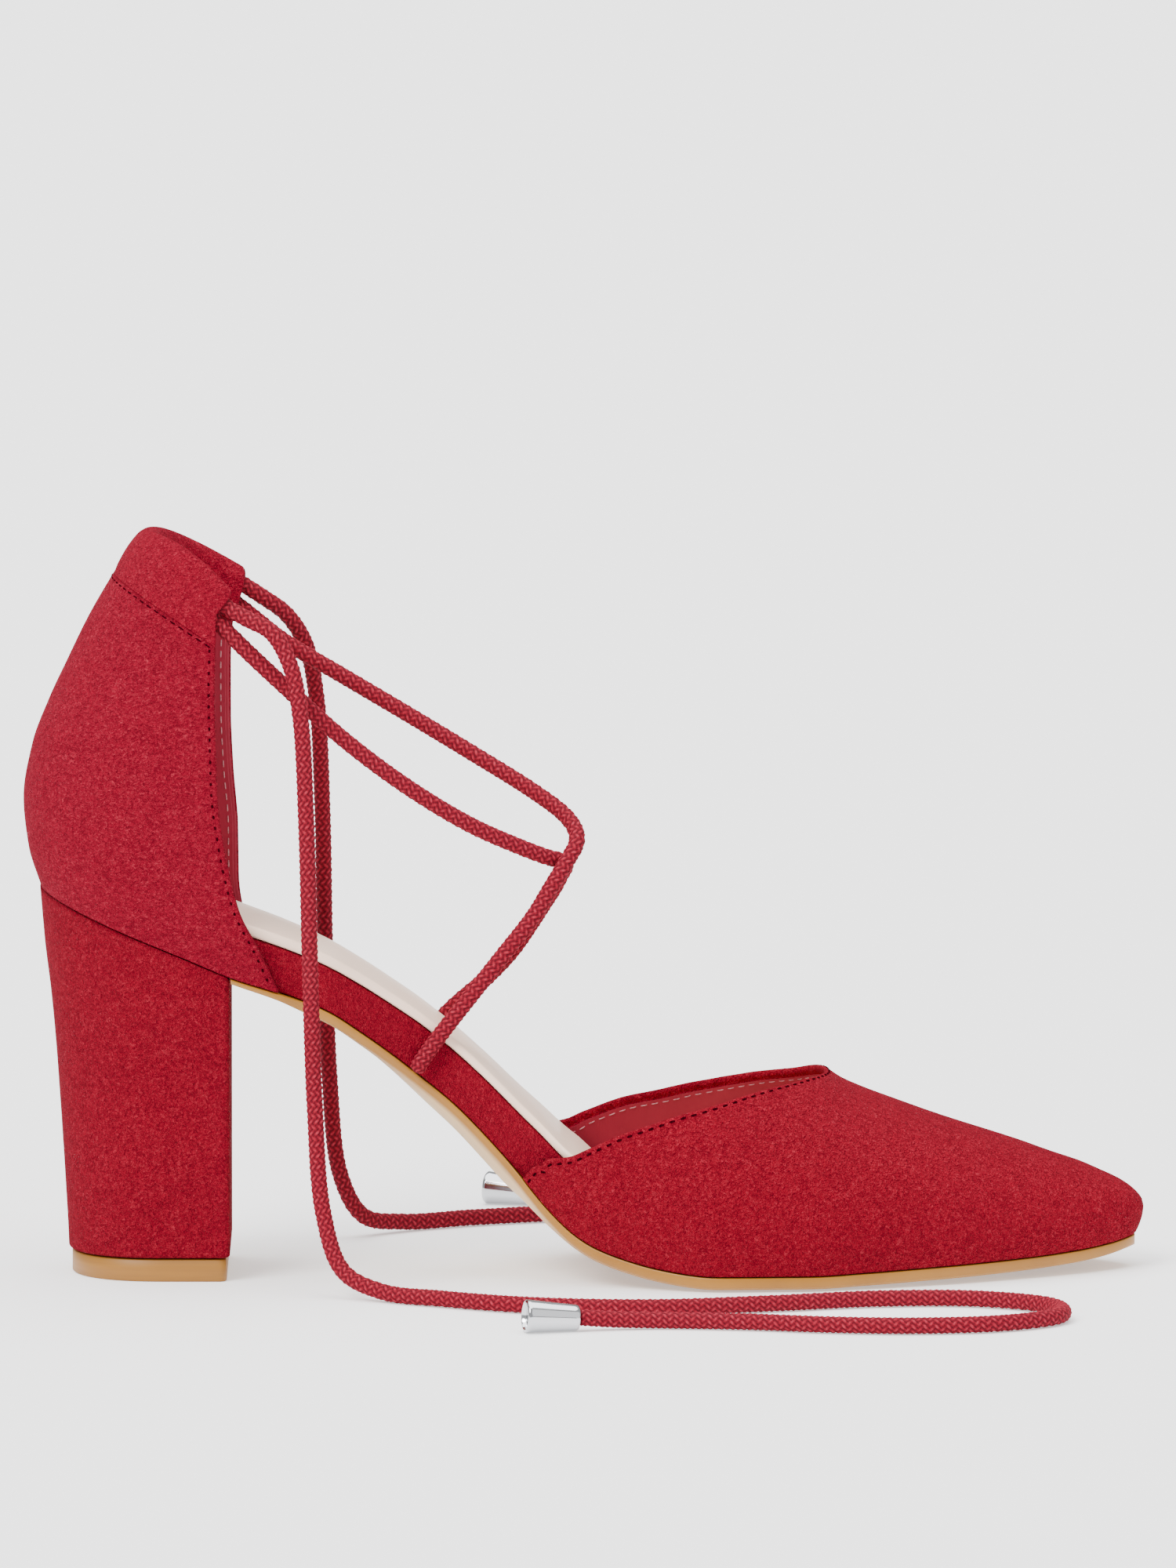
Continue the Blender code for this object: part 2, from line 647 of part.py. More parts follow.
def counter_curve(level, points, reach=0.0):
    """One level of the counter from lateral wing round the back to medial wing, as even points.

    reach runs the curve on past both wings by that length.
    """
    sides = []
    for name, side in (("lateral", -1), ("medial", 1)):
        back = at_station(counter_level["back"](level))
        front = at_station(counter_level[name](level)) + reach
        wing = at_station(counter_level[name](level))
        foot_back, foot_front = at_station(counter_level["back"](0)), at_station(counter_level[name](0))
        follow = counter_level["follow"](level)
        x = stations_between(back, 2 * front - back, 161)[:81]
        ratio = plan["half"](station(x)) / plan["half"](station(at_station(0.1)))
        half = SEAT_WIDTH * counter_level["half"](level) * (1 + follow * (ratio - 1))
        half = half * round_end(x - back, SEAT_ROUND * counter_level["round"](level), 2.15)
        low = feather(foot_back) + COUNTER_BACK_RISE * counter_level["back_rise"](level)
        front_z = feather(foot_front) + COUNTER_WING_RISE * counter_level["wing_rise"](level)
        share = np.clip((x - back) / (wing - back), 0, None)
        z = low + (front_z - low) * share ** counter_level[name + "_arch"](level)
        foot_share = (x - foot_back) / (foot_front - foot_back)
        chord = feather(foot_back) + (feather(foot_front) - feather(foot_back)) * foot_share
        z = z + follow * (feather(x) - chord) * (x <= foot_front) + GAP
        sides.append(np.stack([x, side * half, z], 1))
    curve = np.concatenate([sides[0][::-1], sides[1][1:]])
    along = np.concatenate([[0], np.cumsum(np.linalg.norm(np.diff(curve, axis=0), axis=1))])
    even = np.linspace(0, along[-1], points)
    return np.stack([np.interp(even, along, curve[:, k]) for k in range(3)], 1)


def counter_surface(levels, points, reach=0.0):
    """Points of the counter's outside and its outward normals, by level and along the wings."""
    surface = np.array([counter_curve(level, points, reach) for level in levels])
    near = np.array([counter_curve(max(level - 0.01, 0.0), points, reach) for level in levels])
    far = np.array([counter_curve(min(level + 0.01, 1.0), points, reach) for level in levels])
    up = far - near
    along = np.gradient(surface, axis=1)
    normal = np.cross(up, along)
    normal /= np.linalg.norm(normal, axis=-1, keepdims=True)
    return surface, normal


def casing_depth(depth):
    """Distance outward from the counter's outside for a depth in CASING_PROFILE."""
    return CASING_SWELL - CASING_DEPTH * depth


def make_counter(collection, cutters):
    """Cupped wall with its rim folded over into a casing, and the cord's tunnel cut through it."""
    points = 33
    wall_levels = [0.0, 0.06, 0.14, 0.24, 0.35, 0.46, 0.57, 0.68, 0.78, CASING_LEVEL - 0.006]
    casing_levels = [CASING_LEVEL + (1 - CASING_LEVEL) * row[0] for row in CASING_PROFILE]
    levels = wall_levels + casing_levels + wall_levels[::-1]
    depths = [0.0] * len(wall_levels)
    depths += [casing_depth(row[1]) for row in CASING_PROFILE]
    depths += [-COUNTER_WALL] * len(wall_levels)
    surface, normal = counter_surface(levels, points)
    section = surface + normal * np.array(depths)[:, None, None]
    counter = loft("heel_counter", section.transpose(1, 0, 2), collection, paired=len(wall_levels) - 1)
    finish(counter, (0.40, 0.02, 0.035), 0.9)

    low, high = (CASING_LEVEL + (1 - CASING_LEVEL) * share for share in TUNNEL_LEVELS)
    middle = CASING_SWELL - CASING_DEPTH / 2
    half_depth = CASING_DEPTH / 2 - CASING_WALL
    turn = np.linspace(0, 2 * math.pi, 13)[:-1]
    tunnel_levels = (low + high) / 2 + (high - low) / 2 * np.sin(turn)
    offsets = middle + half_depth * np.sign(np.cos(turn)) * np.abs(np.cos(turn)) ** 0.6
    surface, normal = counter_surface(tunnel_levels, points, reach=0.004)
    tunnel = surface + normal * offsets[:, None, None]
    cutter = loft("cord_tunnel", tunnel.transpose(1, 0, 2), cutters)
    cutter.hide_render = True
    cutter.display_type = "WIRE"
    cut = counter.modifiers.new("cord_tunnel", "BOOLEAN")
    cut.operation = "DIFFERENCE"
    cut.solver = "EXACT"
    cut.object = cutter
    return counter


def route(points, spacing):
    """Even points along a smooth curve through the chosen points (centripetal Catmull-Rom)."""
    p = np.array(points, float)
    p = np.concatenate([[2 * p[0] - p[1]], p, [2 * p[-1] - p[-2]]])
    knots = np.concatenate([[0], np.cumsum(np.linalg.norm(np.diff(p, axis=0), axis=1) ** 0.5)])
    fine = []
    for i in range(1, len(p) - 2):
        t = np.linspace(knots[i], knots[i + 1], 24, endpoint=i == len(p) - 3)[:, None]
        k0, k1, k2, k3 = knots[i - 1 : i + 3]
        a = (k1 - t) / (k1 - k0) * p[i - 1] + (t - k0) / (k1 - k0) * p[i]
        b = (k2 - t) / (k2 - k1) * p[i] + (t - k1) / (k2 - k1) * p[i + 1]
        c = (k3 - t) / (k3 - k2) * p[i + 1] + (t - k2) / (k3 - k2) * p[i + 2]
        d = (k2 - t) / (k2 - k0) * a + (t - k0) / (k2 - k0) * b
        e = (k3 - t) / (k3 - k1) * b + (t - k1) / (k3 - k1) * c
        fine.append((k2 - t) / (k2 - k1) * d + (t - k1) / (k2 - k1) * e)
    fine = np.concatenate(fine)
    along = np.concatenate([[0], np.cumsum(np.linalg.norm(np.diff(fine, axis=0), axis=1))])
    even = np.linspace(0, along[-1], round(along[-1] / spacing) + 1)
    return np.stack([np.interp(even, along, fine[:, k]) for k in range(3)], 1)


def tube(name, points, collection):
    """A round cord along points, with closed ends."""
    curve = bpy.data.curves.new(name, "CURVE")
    curve.dimensions = "3D"
    curve.bevel_depth = CORD_DIAMETER / 2
    curve.bevel_resolution = 2
    curve.use_fill_caps = True
    spline = curve.splines.new("POLY")
    spline.points.add(len(points) - 1)
    spline.points.foreach_set("co", np.column_stack([points, np.ones(len(points))]).ravel())
    thing = bpy.data.objects.new(name, curve)
    collection.objects.link(thing)
    return thing


def as_mesh(thing, collection):
    """The curve's solid as a mesh with its caps welded, in the curve's place."""
    name = thing.name
    bpy.context.view_layer.update()
    mesh = bpy.data.meshes.new_from_object(thing.evaluated_get(bpy.context.evaluated_depsgraph_get()))
    body = bmesh.new()
    body.from_mesh(mesh)
    bmesh.ops.remove_doubles(body, verts=body.verts, dist=0.00001)
    bmesh.ops.recalc_face_normals(body, faces=body.faces)
    body.to_mesh(mesh)
    body.free()
    place = thing.matrix_world.copy()
    bpy.data.objects.remove(thing)
    solid = bpy.data.objects.new(name, mesh)
    solid.matrix_world = place
    collection.objects.link(solid)
    return solid


def make_lacing(collection, cutters):
    """The cord's two runs over the instep, joined where they cross."""
    lacing = as_mesh(tube("instep_lacing", route(FROM_MEDIAL_MOUTH, LACING_SPACING), collection), collection)
    other = as_mesh(tube("crossing_run", route(FROM_LATERAL_MOUTH, LACING_SPACING), cutters), cutters)
    other.hide_render = True
    other.display_type = "WIRE"
    finish(lacing, (0.45, 0.03, 0.05), 0.7)
    join = lacing.modifiers.new("crossing", "BOOLEAN")
    join.operation = "UNION"
    join.solver = "EXACT"
    join.object = other
    return lacing


def make_tie(name, points, collection):
    """A free end of the cord, from the casing's mouth to the floor."""
    return finish(tube(name, route(points, ROUTE_SPACING), collection), (0.45, 0.03, 0.05), 0.7)


def make_tie_end(name, points, collection):
    """Tapered metal end, its neck facing the cord, lying on the floor."""
    start, end = np.array(points[-2]), np.array(points[-1])
    heading = (end - start)[:2] / np.linalg.norm((end - start)[:2])
    tilt = math.asin((END_DIAMETER - END_NECK_DIAMETER) / 2 / END_LENGTH)
    axis = np.array([*(heading * math.cos(tilt)), math.sin(tilt)])
    middle = end + axis * (GAP + END_LENGTH / 2)
    middle[2] = (END_DIAMETER + END_NECK_DIAMETER) / 4 / math.cos(tilt) + GAP / 3
    bpy.ops.mesh.primitive_cone_add(
        vertices=20,
        radius1=END_NECK_DIAMETER / 2,
        radius2=END_DIAMETER / 2,
        depth=END_LENGTH,
        location=middle,
        rotation=(0, math.pi / 2 - tilt, math.atan2(heading[1], heading[0])),
    )
    thing = bpy.context.active_object
    thing.name = name
    thing.data.name = name
    for owner in list(thing.users_collection):
        owner.objects.unlink(thing)
    collection.objects.link(thing)
    soft = thing.modifiers.new("soft edges", "BEVEL")
    soft.width = 0.0006
    soft.segments = 2
    return finish(thing, (0.75, 0.75, 0.77), 0.12, 1.0)


def main():
    for thing in list(bpy.data.objects):
        bpy.data.objects.remove(thing)
    shoe = bpy.data.collections.new("lace_up_heel")
    cutters = bpy.data.collections.new("cutters")
    bpy.context.scene.collection.children.link(shoe)
    bpy.context.scene.collection.children.link(cutters)
    make_outsole(shoe)
    make_board(shoe)
    make_sock(shoe)
    make_heel(shoe)
    make_lift(shoe)
    make_vamp(shoe)
    make_counter(shoe, cutters)
    make_lacing(shoe, cutters)
    for side, points in (("lateral", LATERAL_TIE), ("medial", MEDIAL_TIE)):
        make_tie(f"ankle_tie_{side}", points, shoe)
        make_tie_end(f"tie_end_{side}", points, shoe)


main()
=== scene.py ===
"""Looks of the lace-up heel: a red suede court shoe with an open waist, a block heel and cord ties.

Metres. +X toe, +Y medial side, -Y lateral side, +Z up, z = 0 the floor.
"""

import functools
import math

import bmesh
import bpy
import numpy as np
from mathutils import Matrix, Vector


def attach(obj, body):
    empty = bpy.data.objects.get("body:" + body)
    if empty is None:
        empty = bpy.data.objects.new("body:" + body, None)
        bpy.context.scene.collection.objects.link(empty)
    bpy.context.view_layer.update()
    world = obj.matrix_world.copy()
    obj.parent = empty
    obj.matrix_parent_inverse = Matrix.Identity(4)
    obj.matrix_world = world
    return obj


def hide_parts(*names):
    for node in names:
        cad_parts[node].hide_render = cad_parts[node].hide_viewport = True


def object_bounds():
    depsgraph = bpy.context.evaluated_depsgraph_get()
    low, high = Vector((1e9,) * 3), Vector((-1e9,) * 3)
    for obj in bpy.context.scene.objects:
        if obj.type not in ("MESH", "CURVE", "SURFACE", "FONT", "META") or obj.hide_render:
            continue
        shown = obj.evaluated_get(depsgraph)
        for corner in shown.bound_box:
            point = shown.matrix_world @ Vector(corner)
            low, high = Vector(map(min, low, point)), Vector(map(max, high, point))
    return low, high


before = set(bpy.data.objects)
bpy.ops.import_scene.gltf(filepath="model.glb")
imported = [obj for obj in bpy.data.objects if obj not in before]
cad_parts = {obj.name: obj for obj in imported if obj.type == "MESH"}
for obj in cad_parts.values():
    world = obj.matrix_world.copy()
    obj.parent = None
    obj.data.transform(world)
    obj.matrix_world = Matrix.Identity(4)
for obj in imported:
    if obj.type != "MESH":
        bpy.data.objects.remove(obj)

CAD_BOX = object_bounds()

# Camera
# A long lens from the lateral side, a little above the shoe, as a catalogue picture is taken.
# The frame is 250 mm wide and 333 mm high at the shoe, which stands in its lower half.
VIEW_DISTANCE = 6.0
VIEW_ELEVATION = math.radians(7.0)
FRAME_HEIGHT = 0.3333
VIEW_MIDDLE = Vector((0.0008, 0.0, 0.1040))


def placed(data):
    """A new object named after its data, put into the scene."""
    made = bpy.data.objects.new(data.name, data)
    bpy.context.scene.collection.objects.link(made)
    return made


camera_data = bpy.data.cameras.new("catalogue_camera")
camera_data.sensor_width = 36.0
camera_data.lens = camera_data.sensor_width * VIEW_DISTANCE / FRAME_HEIGHT
camera_data.clip_end = 60.0
camera = placed(camera_data)
sight = Vector((0.0, math.cos(VIEW_ELEVATION), -math.sin(VIEW_ELEVATION)))
camera.location = VIEW_MIDDLE - sight * VIEW_DISTANCE
camera.rotation_euler = sight.to_track_quat("-Z", "Y").to_euler()
bpy.context.scene.camera = camera

# Cord
# A round braided polyester cord, 3.5 mm thick. Its two ends cross over the instep, run through the
# casing of the counter and fall free as ties, which lie on the floor beside the shoe.
MM = 0.001
CORD_DIAMETER = 0.0035
PATH_STEP = 0.30 * MM
BRAID_STEP = 1.20 * MM
BRAID_STRANDS = 8
BRAID_RELIEF = 0.32 * MM
FLOAT_DIP = 0.28
LACING_TIP = 1.3 * MM
CORD_RED = "#8A1226"
# The next two colours are painted light on the braid: shade in its grooves, and a highlight on its crowns.
CORD_GROOVE_SHADE = "#4C0614"
CORD_CROWN_HIGHLIGHT = "#A63644"
# The paths of the cord's middle line, in millimetres, from each mouth of the casing.
FROM_MEDIAL_MOUTH = MM * np.array([
    (-81.3, 20.7, 144.0), (-77.8, 21.0, 142.1), (-74.1, 20.9, 140.1), (-70.0, 20.9, 136.9),
    (-64.2, 20.3, 132.4), (-50.8, 18.4, 124.6), (-37.5, 15.8, 117.0), (-24.2, 11.8, 109.4),
    (-10.8, 6.0, 101.7), (-4.2, 1.8, 97.2), (-1.8, -2.0, 94.2), (-1.7, -4.8, 91.8),
    (-3.8, -7.4, 88.2), (-7.2, -10.4, 82.9), (-10.8, -13.2, 77.3), (-17.5, -16.7, 69.1),
    (-24.2, -18.6, 60.8), (-30.5, -19.3, 52.8), (-34.2, -19.5, 47.6), (-35.8, -19.7, 44.8),
])
FROM_LATERAL_MOUTH = MM * np.array([
    (-83.6, -19.7, 145.7), (-80.5, -20.7, 143.3), (-77.3, -21.1, 140.7), (-74.2, -21.4, 137.7),
    (-70.8, -21.6, 134.4), (-64.2, -21.7, 128.2), (-50.8, -21.1, 116.0), (-37.5, -18.8, 105.7),
    (-24.2, -14.8, 97.1), (-14.0, -10.6, 92.0), (-8.0, -7.3, 89.3), (-4.5, -4.0, 87.9),
    (-4.0, -0.8, 86.5), (-4.9, 2.8, 84.3), (-6.4, 6.0, 81.0), (-8.6, 9.0, 77.2),
    (-11.2, 11.6, 72.8), (-15.5, 14.3, 66.3), (-21.0, 16.5, 60.2), (-27.5, 17.9, 54.4),
    (-33.0, 18.2, 48.7), (-35.2, 18.5, 45.7),
])
LATERAL_TIE = MM * np.array([
    (-81.7, -19.3, 149.4), (-78.8, -20.3, 147.1), (-75.8, -20.8, 144.3), (-71.5, -21.7, 141.9),
    (-66.2, -23.8, 139.2), (-62.2, -26.2, 132.5), (-60.0, -29.0, 121.5), (-58.8, -32.2, 100.0),
    (-58.0, -34.8, 70.0), (-57.0, -37.2, 40.0), (-55.2, -40.2, 17.5), (-51.2, -44.5, 6.0),
    (-43.0, -50.8, 2.3), (-30.0, -59.0, 1.9), (-10.0, -69.0, 1.9), (15.0, -72.0, 1.9),
    (40.0, -66.0, 1.9), (62.0, -59.0, 1.9), (83.0, -59.0, 1.9), (98.0, -69.0, 1.9),
    (100.0, -84.0, 1.9), (88.0, -95.5, 1.9), (70.0, -99.5, 1.9), (52.0, -98.0, 1.9),
    (34.0, -93.5, 1.9), (17.0, -91.5, 1.9), (7.0, -92.5, 2.2), (-1.0, -94.5, 2.9),
])
MEDIAL_TIE = MM * np.array([
    (-79.4, 20.2, 148.3), (-76.0, 20.6, 146.3), (-72.5, 20.9, 144.2), (-68.5, 21.9, 141.5),
    (-63.5, 24.3, 137.5), (-59.5, 27.0, 130.8), (-57.2, 30.2, 119.0), (-56.0, 34.0, 95.0),
    (-55.5, 37.2, 65.0), (-54.6, 40.3, 36.0), (-52.4, 44.0, 14.5), (-47.5, 49.5, 4.6),
    (-39.0, 57.0, 2.2), (-24.0, 66.0, 1.9), (-4.0, 73.0, 1.9), (20.0, 75.0, 1.9),
    (44.0, 70.0, 1.9), (65.0, 66.0, 1.9), (85.0, 70.0, 1.9), (96.0, 81.0, 1.9),
    (93.0, 94.0, 1.9), (79.0, 101.0, 1.9), (60.0, 102.0, 1.9), (42.0, 99.0, 1.9),
    (24.0, 95.0, 1.9), (8.0, 94.0, 1.9), (-2.0, 95.5, 2.2), (-10.0, 98.0, 2.9),
])


def linear(colour):
    """An sRGB hex colour as linear red, green, blue and an alpha of 1."""
    values = [int(colour[i : i + 2], 16) / 255 for i in (1, 3, 5)]
    return [v / 12.92 if v <= 0.04045 else ((v + 0.055) / 1.055) ** 2.4 for v in values] + [1.0]


def set_inputs(made, *first, **settings):
    """Gives a node its first inputs in their order, and other inputs and properties by name.

    Another node's socket is linked, a hex colour is made linear, and any other value is set.
    """
    pairs = list(zip(made.inputs, first))
    for name, value in settings.items():
        if hasattr(made, name):
            setattr(made, name, value)
        else:
            pairs.append((made.inputs[name.replace("_", " ")], value))
    for target, value in pairs:
        if isinstance(value, bpy.types.NodeSocket):
            made.id_data.links.new(value, target)
        else:
            target.default_value = linear(value) if isinstance(value, str) else value


def node(tree, kind, *first, output=0, **settings):
    """Adds one node with its inputs and properties, and returns the socket that it gives."""
    made = tree.nodes.new("ShaderNode" + kind)
    set_inputs(made, *first, **settings)
    return made.outputs[output]


def material(name, base, roughness, **settings):
    """A Principled material with its even values on the shader.

    Returned with what adds a node to it, its shader and the object's own coordinates. A pattern's
    Scale is written as waves per millimetre.
    """
    made = bpy.data.materials.new(name)
    made.use_nodes = True
    shader = made.node_tree.nodes["Principled BSDF"]
    set_inputs(shader, Base_Color=base, Roughness=roughness, **settings)
    add = functools.partial(node, made.node_tree)
    return made, add, shader, add("TexCoord", output="Object")


def grid_mesh(name, points, around=True, ends=None, marks=None, zones=None):
    """A mesh over a grid of points, rows by columns.

    Quads join each point to its neighbours; around closes each row on itself. ends closes the first
    and last rows: by that many quads between a row's two sides, then by one face. marks are named
    numbers per point, zones the material slots of the quads.
    """
    rows, columns = points.shape[:2]
    index = np.arange(rows * columns).reshape(rows, columns)
    right = np.roll(index, -1, axis=1) if around else index[:, 1:]
    left = index if around else index[:, :-1]
    quads = np.stack([left[:-1], right[:-1], right[1:], left[1:]], -1).reshape(-1, 4)
    faces = quads.tolist()
    if ends is not None:
        for row in (index[0].tolist(), index[-1].tolist()):
            faces += [[row[k], row[k + 1], row[-2 - k], row[-1 - k]] for k in range(ends)]
            faces.append(row[ends : columns - ends])
    mesh = bpy.data.meshes.new(name)
    mesh.from_pydata(points.reshape(-1, 3).tolist(), [], faces)
    if zones is not None:
        slots = np.zeros(len(faces), np.int32)
        slots[: len(quads)] = np.broadcast_to(zones, left[:-1].shape).ravel()
        mesh.polygons.foreach_set("material_index", slots)
    for mark, values in (marks or {}).items():
        attribute = mesh.attributes.new(mark, "FLOAT", "POINT")
        values = np.broadcast_to(values, (rows, columns)).ravel()
        attribute.data.foreach_set("value", values.astype(float))
    return mesh


def piece(mesh, finish, replaced=None):
    """A mesh as an object that rides on the shoe, in place of the CAD node named.

    Its seams are closed and its faces turned outward.
    """
    body = bmesh.new()
    body.from_mesh(mesh)
    bmesh.ops.remove_doubles(body, verts=body.verts, dist=1e-6)
    bmesh.ops.recalc_face_normals(body, faces=body.faces)
    body.to_mesh(mesh)
    body.free()
    mesh.shade_smooth()
    mesh.materials.append(finish)
    made = placed(mesh)
    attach(made, "root")
    if replaced:
        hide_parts(replaced)
    return made


def unit(vectors):
    """Vectors of the same direction and a length of 1."""
    return vectors / np.linalg.norm(vectors, axis=-1, keepdims=True)


def lengths_along(points):
    """How far along a path each of its points lies."""
    return np.concatenate([[0], np.cumsum(np.linalg.norm(np.diff(points, axis=0), axis=1))])


def at_lengths(wanted, along, values):
    """A path's points, or what goes with them, at the wanted lengths along it."""
    return np.stack([np.interp(wanted, along, column) for column in values.T], 1)


def route(chosen, spacing):
    """Even points along a smooth curve through the chosen ones (centripetal Catmull-Rom)."""
    p = np.concatenate([[2 * chosen[0] - chosen[1]], chosen, [2 * chosen[-1] - chosen[-2]]])
    knots = np.concatenate([[0], np.cumsum(np.linalg.norm(np.diff(p, axis=0), axis=1) ** 0.5)])
    fine = []
    for i in range(1, len(p) - 2):
        t = np.linspace(knots[i], knots[i + 1], 24, endpoint=i == len(p) - 3)[:, None]
        k0, k1, k2, k3 = knots[i - 1 : i + 3]
        a = (k1 - t) / (k1 - k0) * p[i - 1] + (t - k0) / (k1 - k0) * p[i]
        b = (k2 - t) / (k2 - k1) * p[i] + (t - k1) / (k2 - k1) * p[i + 1]
        c = (k3 - t) / (k3 - k2) * p[i + 1] + (t - k2) / (k3 - k2) * p[i + 2]
        d = (k2 - t) / (k2 - k0) * a + (t - k0) / (k2 - k0) * b
        e = (k3 - t) / (k3 - k1) * b + (t - k1) / (k3 - k1) * c
        fine.append((k2 - t) / (k2 - k1) * d + (t - k1) / (k2 - k1) * e)
    fine = np.concatenate(fine)
    along = lengths_along(fine)
    even = np.linspace(0, along[-1], round(along[-1] / spacing) + 1)
    return at_lengths(even, along, fine)


def carried_frames(points):
    """Two directions across a path, square to each other, carried along it without a twist."""
    tangent = unit(np.gradient(points, axis=0))
    across = np.empty_like(tangent)
    held = np.array([0.0, 1.0, 0.2])
    for i, t in enumerate(tangent):
        held = unit(held - t * (held @ t))
        across[i] = held
    return across, np.cross(tangent, across)


def braid(name, chosen, replaced, tip=0.0):
    """A braided tube: a circle carried along the route, raised by crossing rounded strands.

    Two families of strands run at p and q = along / step plus or minus strands * turn. Each strand
    goes over two of the other family, then under two. It is a half cosine high across, and dips
    towards both ends of the stretch that lies on top. Over a tip's length the far end is closed as
    a quarter of a circle.
    """
    path = route(chosen, PATH_STEP)
    turn = np.linspace(0, math.tau, 41)[:-1]
    side, up = carried_frames(path)
    along = np.linspace(0, (len(path) - 1) * PATH_STEP, len(path))[:, None]
    p = along / BRAID_STEP + BRAID_STRANDS * turn / math.tau
    q = along / BRAID_STEP - BRAID_STRANDS * turn / math.tau
    phase = (np.floor(p) + np.floor(q)) % 4
    over = phase < 2
    cross = np.where(over, p % 1, q % 1) - 0.5
    length = np.where(over, phase + q % 1, phase - 2 + p % 1) / 2 - 0.5
    height = np.cos(math.pi * cross) * (1 - FLOAT_DIP + FLOAT_DIP * np.cos(math.tau * length))
    radius = CORD_DIAMETER / 2 + BRAID_RELIEF * (height - 1 + FLOAT_DIP)
    left = np.clip(1 - (along[-1] - along) / max(tip, 1e-6), 0, 0.97)
    radius = radius * np.sqrt(1 - left**2)
    circle = side[:, None] * np.cos(turn)[:, None] + up[:, None] * np.sin(turn)[:, None]
    tube = path[:, None] + circle * radius[..., None]
    mesh = grid_mesh(name, tube, ends=0, marks={"strand": height})
    return piece(mesh, braided_polyester, replaced), path


# Braided polyester: dyed red strands with a soft lustre, with painted shade in the grooves between them and a
# painted highlight on their crowns.
braided_polyester, add, shader, place = material(
    "braided_polyester", CORD_RED, 0.8, Sheen_Weight=0.03, Sheen_Tint="#F0A0A8", Specular_IOR_Level=0.12
)
strand = add("Attribute", output="Fac", attribute_name="strand")
fibre = add("TexNoise", place, Scale=1.5 / MM, Detail=2.0)
# Painted shade: the braid's low parts take the groove colour.
depth = add("MapRange", strand, From_Min=0.15, From_Max=0.7)
groove_shaded = add("MixRGB", depth, CORD_GROOVE_SHADE, CORD_RED)
crown = add("Math", fibre, strand, operation="ADD")
# Painted highlight: the strands' highest tops, broken up by fibre noise, take the pale crown colour.
wear_and_highlight = add("MapRange", crown, From_Min=1.1, From_Max=1.6, To_Max=0.75)
set_inputs(shader, Base_Color=add("MixRGB", wear_and_highlight, groove_shaded, CORD_CROWN_HIGHLIGHT))

braid("lacing_from_medial_mouth", FROM_MEDIAL_MOUTH, "instep_lacing", LACING_TIP)
braid("lacing_from_lateral_mouth", FROM_LATERAL_MOUTH, "instep_lacing", LACING_TIP)
ankle_ties = {
    "lateral": braid("ankle_cord_lateral", LATERAL_TIE, "ankle_tie_lateral"),
    "medial": braid("ankle_cord_medial", MEDIAL_TIE, "ankle_tie_medial"),
}

# Cord ends
# A tapered metal end is pressed over each tie: pressed brass with a bright chrome finish. Its
# neck grips the cord, and its wide end is a rolled rim round a shallow dish.
END_LENGTH = 11.5 * MM
END_RADIUS = 3.5 * MM
END_NECK_RADIUS = 2.75 * MM
END_SINK = 0.9 * MM
TOUCH_GAP = 0.3 * MM

# Bright chrome: a mirror of the pale room, a little hazy where fingers have held it.
bright_chrome, add, shader, place = material("bright_chrome", "#C9CACD", 0.10, Metallic=1.0)
handled = add("TexNoise", place, Scale=0.3 / MM, Detail=3.0)
haze = add("MapRange", handled, From_Min=0.3, From_Max=0.8, To_Min=0.07, To_Max=0.2)
set_inputs(shader, Roughness=haze)


def cord_end(name, chosen, replaced):
    """A profile of (along, radius) turned round the tie's last direction, lying on the floor."""
    end = chosen[-1]
    heading = unit((end - chosen[-2])[:2])
    tilt = math.asin((END_RADIUS - END_NECK_RADIUS) / END_LENGTH)
    axis = np.array([*(heading * math.cos(tilt)), math.sin(tilt)])
    middle = end + axis * (TOUCH_GAP + END_LENGTH / 2)
    middle[2] = (END_RADIUS + END_NECK_RADIUS) / 2 / math.cos(tilt) + TOUCH_GAP / 3
    neck, rim, length = END_NECK_RADIUS / MM, END_RADIUS / MM, END_LENGTH / MM
    dish = length - END_SINK / MM
    profile = MM * np.array([
        (0.5, 0.0), (0.5, 1.9), (0.05, 2.05), (0.0, 2.3), (0.1, neck - 0.12), (0.35, neck),
        (1.2, neck + 0.06), (6.0, 3.12), (10.6, rim - 0.03), (11.2, rim), (length, rim - 0.28),
        (length, rim - 0.55), (11.2, rim - 0.8), (dish, rim - 1.0), (dish, 0.0),
    ])
    turn = np.linspace(0, math.tau, 49)[:-1]
    side = np.array([-heading[1], heading[0], 0.0])
    up = np.cross(axis, side)
    ring = side * np.cos(turn)[:, None] + up * np.sin(turn)[:, None]
    base = middle - axis * END_LENGTH / 2
    points = base + axis * profile[:, 0, None, None] + ring[None] * profile[:, 1, None, None]
    mesh = grid_mesh(name, points)
    made = piece(mesh, bright_chrome, replaced)
    mesh.set_sharp_from_angle(angle=math.radians(50))
    return made


for side_name, chosen in (("lateral", LATERAL_TIE), ("medial", MEDIAL_TIE)):
    metal = cord_end(f"metal_end_{side_name}", chosen, f"tie_end_{side_name}")

